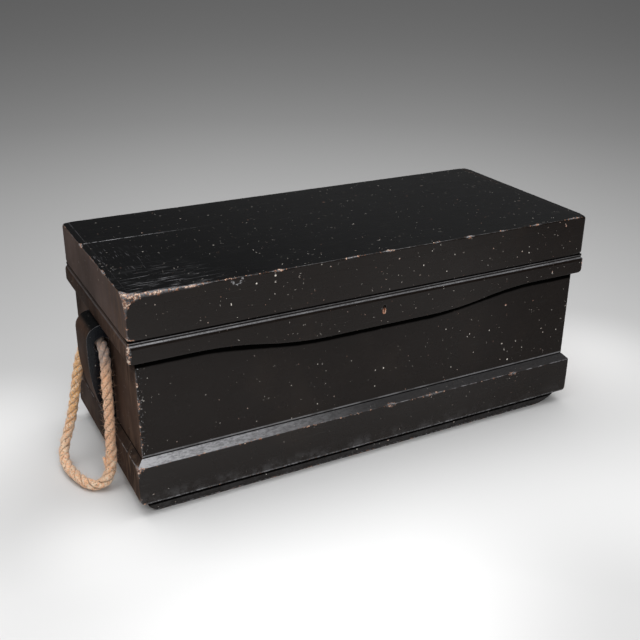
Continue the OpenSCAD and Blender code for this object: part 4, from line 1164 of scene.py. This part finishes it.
def moulding(name, node, slot, points, edge, out, low_z, high_z, finish, nibble):
    """Closes a carried outline with its two ends, wears its arrises and its corner, and makes the
    piece."""
    rows, columns = points.shape[:2]
    flat = points.reshape(-1, 3)
    edge = np.broadcast_to(edge, (rows, columns)).ravel()
    low, high = np.array((-WALL_X - out, -WALL_Y - out, -FAR)), np.array((WALL_X + out, FAR, FAR))
    flat = round_over(flat, low, high, 1.6 + 2.2 * lattice_noise(flat, 9, 7))
    centre = np.array((0.0, BACK_Y / 2, (low_z + high_z) / 2))
    bite = nibble * np.clip(lattice_noise(flat, 4.2, 8) - 0.45, 0, 1) * np.clip(1 - edge / 2.5, 0, 1)
    inward = unit((centre - flat) * ((0.0, 1.0, 1.5) if "front" in name else (1.0, 0.0, 2.5)))
    piece = make_piece(name, flat + 2 * bite[:, None] * inward, tube_faces(rows, columns), "chest", slot,
                       finish, replaces=(node,), arris_mm=edge)
    turn_outwards(piece.data)
    return piece


print("mouldings have", len(FRONT_SHARES), "rings at the front and", len(SIDE_SHARES), "at each side")

# %% Paint of the plinth
LEFT_PLINTH_X, PLINTH_Y = float(plinth_low[0]), float(plinth_low[1])
PLINTH_RUBS = [((LEFT_PLINTH_X, PLINTH_Y, 97.0), 24.0, 6.0), ((LEFT_PLINTH_X, PLINTH_Y, 30.0), 26.0, 5.0),
               ((LEFT_PLINTH_X + 150, PLINTH_Y, 97.0), 150.0, 1.5), ((29.0, PLINTH_Y, 98.0), 16.0, 6.0),
               ((120.0, PLINTH_Y, 99.0), 40.0, 3.5), ((314.0, PLINTH_Y, 97.0), 16.0, 4.0),
               ((-100.0, PLINTH_Y, 26.0), 260.0, 1.0)]
PAST_FOOT, PAST_BACK = np.array((0.0, 0.0, 400.0)), np.array((0.0, 40.0, 400.0))


def chamfer_painted_highlight_and_dust(f):
    """The plinth's chamfer with a painted highlight, a silver speckle at the left that fades to a flat dark
    grey at the right, and dust low on the front and a thin pale line on its lower arris."""
    slope = abs(f.facing[1]) * f.most(f.facing[2], 0.0)
    share = f.step(f.x, -470.0, 30.0, 1.05, 0.03) + f.spot((LEFT_PLINTH_X, PLINTH_Y, 103.0), 80.0) * 0.4
    speckle = f.step(f.noise(3.4, 4.0, f.stretched(0.4, 1.0, 1.0), 0.7), 0.32, 0.66, 0.42, 1.0)
    chamfer = f.step(slope, 0.25, 0.42) * f.least(speckle * share + 0.035, 1.0)
    cloud = f.step(f.noise(24, 4.0, roughness=0.7), 0.42, 0.68)
    dust = cloud * f.step(f.z, 56.0, 30.0, 0.0, 0.085) * f.step(f.x, -50.0, 300.0, 1.0, 0.3)
    broken = f.step(f.noise(5.0, roughness=0.7), 0.4, 0.6, 0.1, 0.5) * f.step(cloud, 0.0, 1.0, 0.5, 1.0)
    lower = f.line_at(f.z, PLINTH_FOOT + 1.6, 2.0) * broken
    return f.most(chamfer, f.most(dust, lower) * f.step(f.facing[1], -0.35, -0.7))


plinth_paint = worn_paint("black_paint_plinth", plinth_low - PAST_FOOT, plinth_high + PAST_BACK,
                          PLINTH_RUBS, stars=0.6, moulded=True, grey_wear_and_highlights=chamfer_painted_highlight_and_dust)

# %% Paint of the band
LEFT_BAND_X, RIGHT_BAND_X, BAND_Y = float(band_low[0]), float(band_high[0]), float(band_low[1])
BAND_RUBS = [((LEFT_BAND_X, BAND_Y, 320.0), 34.0, 9.0), ((LEFT_BAND_X, BAND_Y, 295.0), 26.0, 6.0),
             ((LEFT_BAND_X + 84, BAND_Y, 308.0), 14.0, 5.0), ((RIGHT_BAND_X, BAND_Y, 312.0), 26.0, 5.0)]
NOSE_TOP, FILLET_LINE = float(nose_points[0][1]), BAND_TOP - 0.75 * FILLET


def nose_painted_highlights(f):
    """Two thin painted highlights along the band: on its fillet and on the upper turn of its nose."""
    soft = f.step(f.noise(30, 4.0), 0.3, 0.7, 0.6, 1.0) * f.step(f.x, -460.0, -150.0, 0.85, 0.55)
    soft = soft * f.step(f.noise(2.5, roughness=0.7), 0.35, 0.55, 0.5, 1.0)
    soft = soft * f.step(abs(f.facing[0]), 0.3, 0.6, 1.0, 0.2)
    nose = f.step(f.facing[2], 0.45, 0.7) * f.line_at(f.z, NOSE_TOP, 4.0)
    return soft * f.most(nose, f.line_at(f.z, FILLET_LINE, 1.3) * 0.55)


def band_painted_shade(f):
    """Painted shade on the fillet's upper half, next to the gap under the lid, and in the quirk under it.
    """
    upper = f.step(f.z, BAND_TOP - 2.4, BAND_TOP - 1.6)
    return f.most(upper, f.line_at(f.z, BAND_TOP - 4.4, 0.9)) * 0.9


band_paint = worn_paint("black_paint_band", band_low - PAST_FOOT, band_high + PAST_BACK, BAND_RUBS,
                        stars=0.9, moulded=True, grey_wear_and_highlights=nose_painted_highlights, painted_shade_at=band_painted_shade, gloss=0.2)

# %% The plinth
PLINTH_EASE = 1.0
PLINTH = dict(out=PLINTH_OUT, low_z=PLINTH_FOOT, high_z=PLINTH_TOP, finish=plinth_paint, nibble=0.5)
outline, edge = eased_outline([(0, PLINTH_FOOT), (PLINTH_OUT, PLINTH_FOOT), *chamfer_points], PLINTH_EASE,
                              worn=((1, 0.8), (2, 0.3)))
points = front_way(outline)
share = np.clip((PLINTH_FOOT + 2 * FOOT_CORNER - points[..., 2]) / (2 * FOOT_CORNER), 0, 1)
points[..., 2] += share * corner_rise(points[..., 0], WALL_X + PLINTH_OUT)
moulding("plinth_front_board", "front_plinth", "black_paint", points, edge, **PLINTH)
side_foot = rounded_foot(PLINTH_OUT, PLINTH_FOOT)
outline, edge = eased_outline([(0, PLINTH_FOOT), *side_foot, *chamfer_points], PLINTH_EASE,
                              worn=((len(side_foot) + 1, 0.3),))
for side, name in ((-1, "left"), (1, "right")):
    moulding(f"plinth_{name}_board", f"{name}_plinth", "brown_black_paint", side_way(outline, side), edge,
             **PLINTH)

# %% The band and its scroll
BAND_EASE = 0.8
BAND = dict(out=BAND_OUT, low_z=BAND_FOOT, high_z=BAND_TOP, finish=band_paint, nibble=0.35)
LEFT_FOOT = [(BAND_OUT, BAND_TOP - 34.0), (7.7, 281.5), (1.7, 271.0), (0.0, 268.0)]
RIGHT_FOOT = [*rounded_foot(BAND_OUT, BAND_FOOT)[::-1], (0, BAND_FOOT)]


def scroll_foot(x):
    """Height of the front band's foot: high at the ends, low in the middle, joined by two equal arcs of
    radius R, where R = ((run/2)^2 + (fall/2)^2) / fall, and rounded up at the ends."""
    fall = BAND_MIDDLE_HEIGHT - BAND_END_HEIGHT
    big = ((SCROLL_RUN / 2) ** 2 + (fall / 2) ** 2) / fall
    way = np.clip(RIGHT - SCROLL_START - np.abs(x), 0, SCROLL_RUN)
    first = big - np.sqrt(big**2 - np.minimum(way, SCROLL_RUN / 2) ** 2)
    second = fall - big + np.sqrt(big**2 - np.clip(SCROLL_RUN - way, 0, SCROLL_RUN / 2) ** 2)
    drop = np.where(way < SCROLL_RUN / 2, first, second)
    return BAND_FOOT - drop + corner_rise(x, WALL_X + BAND_OUT)


outline, edge = eased_outline([*band_upper, (BAND_OUT, BAND_FOOT), (0, BAND_FOOT)], BAND_EASE)
points = front_way(outline)
share = np.clip((nose_height - points[..., 2]) / (nose_height - BAND_FOOT), 0, 1)
points[..., 2] += share * (scroll_foot(points[..., 0]) - BAND_FOOT)
front_band = moulding("band_front_board", "front_band", "black_paint", points, edge, **BAND)
for side, name, foot in ((-1, "left", LEFT_FOOT), (1, "right", RIGHT_FOOT)):
    outline, edge = eased_outline([*band_upper, *foot], BAND_EASE)
    moulding(f"band_{name}_board", f"{name}_band", "brown_black_paint", side_way(outline, side), edge,
             **BAND)

# %% [markdown]
# ## The keyhole
# The band is pierced by the keyhole, a round head above a slot, and a brass liner is let into it. Paint
# alone would show no depth, so the hole is really cut, with two prisms: one of the liner's outer
# outline, as deep as the liner, and one of the key's own outline, right through.

# %% Keyhole through the band
liner_low, liner_high = box_mm("keyhole_escutcheon")
LINER_WALL, KEY_RADIUS, KEY_SLOT = 1.6, 3.2, 3.4
BEYOND = 3.0


def keyhole_outline(grow):
    """Outline in X and Z: the head's arc, then the slot's round foot."""
    middle_x = (liner_low[0] + liner_high[0]) / 2
    head_z, foot_z = liner_high[2] - LINER_WALL - KEY_RADIUS, liner_low[2] + LINER_WALL + KEY_SLOT / 2
    head, slot = KEY_RADIUS + grow, KEY_SLOT / 2 + grow
    neck = math.degrees(math.asin(slot / head))
    return np.vstack([arc((middle_x, head_z), head, neck - 90, 270 - neck, 33),
                      arc((middle_x, foot_z), slot, 180, 360, 13)])


def prism(name, outline, from_y, to_y):
    """A cutter: the outline carried straight along Y."""
    x, z = outline.T
    points = np.stack(np.broadcast_arrays(x, np.array([[from_y], [to_y]]), z), axis=2)
    mesh = mesh_of(name, points, tube_faces(2, len(outline)))
    turn_outwards(mesh)
    return add_object(name, mesh)


def cut(piece, cutter):
    """Takes the cutter out of the piece for good, and deletes the cutter."""
    modifier = piece.modifiers.new("cut", "BOOLEAN")
    modifier.operation = "DIFFERENCE"
    modifier.solver = "EXACT"
    modifier.object = cutter
    shape = bpy.data.meshes.new_from_object(piece.evaluated_get(bpy.context.evaluated_depsgraph_get()))
    piece.modifiers.remove(modifier)
    piece.data = shape
    bpy.data.objects.remove(cutter)
    print(piece.name, "after the cut:", len(shape.vertices), "points")


ahead_of_band = -WALL_Y - BAND_OUT - BEYOND
cut(front_band, prism("liner_cutter", keyhole_outline(LINER_WALL), ahead_of_band, liner_high[1]))
cut(front_band, prism("key_cutter", keyhole_outline(0.0), ahead_of_band, BEYOND - WALL_Y))

# %% [markdown]
# ## Runners and handle blocks
# A runner is a plain batten whose ends are rounded up like a sledge's, so its section is carried along
# X while its foot rises over the toes as a quarter of an ellipse. The handle blocks were sawn and bored
# from the thick, and their solids already hold the flared hole, so they are eased copies with a wider
# bevel.

# %% Paint of the runners
runner_low, runner_high = box_mm("front_runner", "back_runner")
PAST_TOES = np.array((100.0, 0.0, 100.0))


def runner_painted_shadow(f):
    """A painted shadow on the runner's face, close under the plinth's foot."""
    return f.step(f.z, PLINTH_FOOT - 14.5, PLINTH_FOOT - 12.5, 0.0, 0.97)


def runner_grey(f):
    """Dust on the runner's face, and pale nicks on its lower arris."""
    dust = f.step(f.noise(18, 4.0, roughness=0.7), 0.3, 0.7, 0.02, 0.07)
    nicks = f.step(f.noise(4.0, 4.0, roughness=0.75), 0.52, 0.60) * f.step(f.z, 5.0, 1.0, 0.0, 0.9)
    return f.most(dust, nicks)


runner_paint = worn_paint("black_paint_runner", runner_low - PAST_TOES, runner_high + PAST_TOES,
                          arris_rub=1.1, stars=1.6, moulded=True, grey_wear_and_highlights=runner_grey,
                          painted_shade_at=runner_painted_shadow)

# %% Runners
LEFT_TOE, RIGHT_TOE = 24.0, 62.0
RUNNER_EASE = 1.6
TALL = 1000.0


def runner(name, node):
    """One runner: a section carried along X, whose foot rises at each toe by h (1 - sqrt(1 - t^2)), t
    from 0 to 1. The section is eased while it is very tall, so that its head keeps its place as the
    foot rises."""
    low, high = box_mm(node)
    half, height = high[0], high[2] - low[2]
    t = np.sin(np.linspace(0, math.pi / 2 - 0.02, 26))
    left_start, right_start = LEFT_TOE - half, half - RIGHT_TOE
    x = np.concatenate([left_start - LEFT_TOE * t[::-1], np.linspace(left_start, right_start, 260)[1:-1],
                        right_start + RIGHT_TOE * t])[:, None]
    share = np.clip(np.maximum((left_start - x) / LEFT_TOE, (x - right_start) / RIGHT_TOE), 0, 1)
    foot = low[2] + height * (1 - np.sqrt(1 - share**2))
    section, edge = eased_outline([(low[1], 0), (high[1], 0), (high[1], TALL), (low[1], TALL)], RUNNER_EASE,
                                  worn=((0, 0.0), (1, 0.0)))
    y, rise = section.T
    rise = np.where(rise > TALL / 2, rise - TALL + height, rise)
    z = foot + np.minimum(rise, height) * (high[2] - foot) / height
    points = np.stack(np.broadcast_arrays(x, y, z), axis=2)
    return make_piece(name, points, tube_faces(*z.shape), "chest", "black_paint", runner_paint,
                      replaces=(node,), arris_mm=np.broadcast_to(edge, z.shape))


runner("runner_front", "front_runner")
runner("runner_back", "back_runner")

# %% Handle blocks
block_low, block_high = box_mm("left_handle_block", "right_handle_block")
BLOCK_EASE = 2.4


def block_painted_highlight(f):
    """A painted highlight: a pale line on the block's eased arris, which alone is turned half to the
    front, brightest at its top."""
    turned = abs(f.facing[1])
    arris = f.step(turned, 0.3, 0.5) * f.step(turned, 0.97, 0.90)
    return arris * f.step(f.z, 150.0, 250.0, 0.4, 1.0)


BLOCK_CROWDS = [((-470.0, -37.5, 270.0), 40.0)]
block_paint = worn_paint("black_paint_block", block_low, block_high, arris_rub=0.35, stars=0.7,
                         long_axis="Z", crowds=BLOCK_CROWDS, grey_wear_and_highlights=block_painted_highlight, front=BLACK_NAVY)
for side in ("left", "right"):
    eased_copy(f"{side}_handle_block", f"{side}_bored_block", "chest", block_paint,
               BLOCK_EASE, 3)

# %% [markdown]
# ## Iron and brass
# Hinges, lock and screws are wrought iron gone dark, with rust in the hollows. The keyhole's liner is
# brass, dull and reddish, with paint over its upper part. Their solids are already as sharp as the real
# pieces, so only the finish is new. A metal's colour is its shine, here broken by a rough coat, and the
# brass is so tarnished that little of its shine is left.

# %% Metals
IRON_GREY, RUST = (0.105, 0.10, 0.098), (0.085, 0.042, 0.024)
BRASS_PALE, BRASS_RED = (0.60, 0.40, 0.30), (0.50, 0.19, 0.10)


def dark_iron():
    """Dark iron: grey metal under blotches of brown rust."""
    f = Finish("dark_iron")
    rust = f.step(f.noise(9, 5.0, roughness=0.7), 0.48, 0.66)
    colour, pits = f.blend(rust, IRON_GREY, RUST), f.noise(1.6, 4.0)
    return f.surface(colour, f.step(rust, 0.0, 1.0, 0.42, 0.85), pits, 0.18, Metallic=0.75)


def dull_brass():
    """Worn brass with a reddish tarnish, painted over at its head."""
    f = Finish("dull_brass")
    tarnish = f.noise(2.5, 4.0)
    painted = f.step(f.z + tarnish * 8.0, liner_high[2] - 6.0, liner_high[2] - 3.5)
    colour = f.layers(BRASS_PALE, (f.step(tarnish, 0.4, 0.6), BRASS_RED), (painted, BLACK))
    return f.surface(colour, 0.5, tarnish, 0.12, Metallic=0.15)


IRON_WORDS = ("hinge", "lock", "screws", "link")
iron_names = [name for name in nodes
              if any(word in name for word in IRON_WORDS) and not name.endswith("handle_block")]
for names, slot, finish in ((iron_names, "iron", dark_iron()),
                            (["keyhole_escutcheon"], "brass", dull_brass())):
    for name in names:
        nodes[name].data.materials.clear()
        nodes[name].data.materials.append(finish)
    print("nodes of", slot, len(names))

# %% [markdown]
# ## Floor and light
# The chest stands on a pale studio floor that is white in front and falls off to grey behind. A
# photographer would bend a paper sweep up behind it, but a large flat floor whose colour follows the
# distance gives the same picture: the fall-off of the light is painted into the floor's colour, and so
# are painted shade towards the sides and painted pools of light beside the chest's ends. One large soft
# lamp hangs above, a weaker one stands at the front left, and the sky around is dim near the horizon,
# so that the flat black lid reflects grey and not white.

# %% Floor
# The floor's painted fall-off of light by nearness, and painted pools of light beside the chest
FLOOR_PAINTED_FALLOFF = ((0.0, 0.20), (0.156, 0.30), (0.223, 0.32), (0.294, 0.385), (0.395, 0.48), (0.505, 0.60),
                (0.621, 0.74), (0.855, 0.93))
FLOOR_PAINTED_LIGHT_POOLS = (((-640.0, 180.0, 0.0), 330.0, 0.5), ((-505.0, -225.0, 0.0), 190.0, 0.6),
               ((620.0, -60.0, 0.0), 330.0, 0.45))
FLOOR_HALF = 40000.0
WHITE, NO_LIGHT = (1.0, 1.0, 1.0), (0.0, 0.0, 0.0)


def floor_finish():
    """Floor with painted light: its paleness, a painted fall-off, depends on 1 / (distance in metres from
    the point under the eye), painted shade fades it to the sides of the way from that point to the chest,
    and painted pools of light lift it again beside the chest's ends."""
    f = Finish("studio_floor")
    eye_x, eye_y = EYE[0] / MM, EYE[1] / MM
    away = f.distance((eye_x, eye_y, 0.0))
    nearness = 1 / MM / away
    ramp = f.node("ShaderNodeValToRGB", {0: nearness})
    stops = ramp.color_ramp.elements
    for number, (place, shade) in enumerate(FLOOR_PAINTED_FALLOFF):
        stop = stops[number] if number < 2 else stops.new(place)
        stop.position, stop.color = place, (shade, shade, shade, 1.0)
    yaw = math.radians(YAW)
    aside = ((f.x - eye_x) * math.cos(yaw) - (f.y - eye_y) * math.sin(yaw)) / away
    # Painted shade towards the sides, and painted pools of light beside the chest's ends
    left_painted_shade = f.step(aside, -0.08, -0.40) * f.step(nearness, 0.28, 0.50, 0.11, 0.20)
    far, near = f.step(nearness, 0.45, 0.60, 0.13, 0.04), f.step(nearness, 0.65, 0.86, 0.0, 0.28)
    right_painted_shade = f.step(aside, 0.10, 0.42) * (far + near)
    painted_light_pools = [(f.spot(place, reach) * gain, WHITE) for place, reach, gain in FLOOR_PAINTED_LIGHT_POOLS]
    colour = f.layers(Value(f, ramp.outputs[0]), (f.most(left_painted_shade, right_painted_shade), NO_LIGHT), *painted_light_pools)
    return f.surface(colour, 0.9, 0.0, Specular_IOR_Level=0.0)


floor_corners = [(x * FLOOR_HALF, y * FLOOR_HALF, 0.0) for x, y in ((-1, -1), (1, -1), (1, 1), (-1, 1))]
floor = add_object("floor", mesh_of("floor", floor_corners, [(0, 1, 2, 3)]))
floor.data.materials.append(floor_finish())
print("the floor has", len(FLOOR_PAINTED_FALLOFF), "shades from back to front")

# %% Lamps and sky
SKY_SHADES = {"From Min": 0.45, "From Max": 0.95, "To Min": 0.12, "To Max": 0.85}


def soft_lamp(name, place, aim, size, watts):
    """A square area lamp at a place, turned to face its aim."""
    lamp = add_object(name, bpy.data.lights.new(name, "AREA"))
    lamp.data.size = size
    lamp.data.energy = watts
    lamp.location = place
    lamp.rotation_euler = (Vector(aim) - Vector(place)).to_track_quat("-Z", "Y").to_euler()
    return lamp


soft_lamp("lamp_above", (0.1, 0.1, 2.8), (0.0, 0.0, 0.2), 3.6, 76)
soft_lamp("lamp_front", (-0.9, -3.6, 2.4), (0.0, 0.0, 0.2), 2.2, 44)
world = bpy.data.worlds.new("studio_sky")
bpy.context.scene.world = world
world.use_nodes = True
sky = world.node_tree.nodes
links = world.node_tree.links
direction = sky.new("ShaderNodeTexCoord")
height = sky.new("ShaderNodeSeparateXYZ")
rise = sky.new("ShaderNodeMapRange")
rise.interpolation_type = "SMOOTHSTEP"
for key, shade in SKY_SHADES.items():
    rise.inputs[key].default_value = shade
links.new(direction.outputs["Generated"], height.inputs[0])
links.new(height.outputs[2], rise.inputs["Value"])
links.new(rise.outputs[0], sky["Background"].inputs["Color"])
sky["Background"].inputs["Strength"].default_value = 1.0
print("sky from", SKY_SHADES["To Min"], "at the horizon to", SKY_SHADES["To Max"], "above")

# %% [markdown]
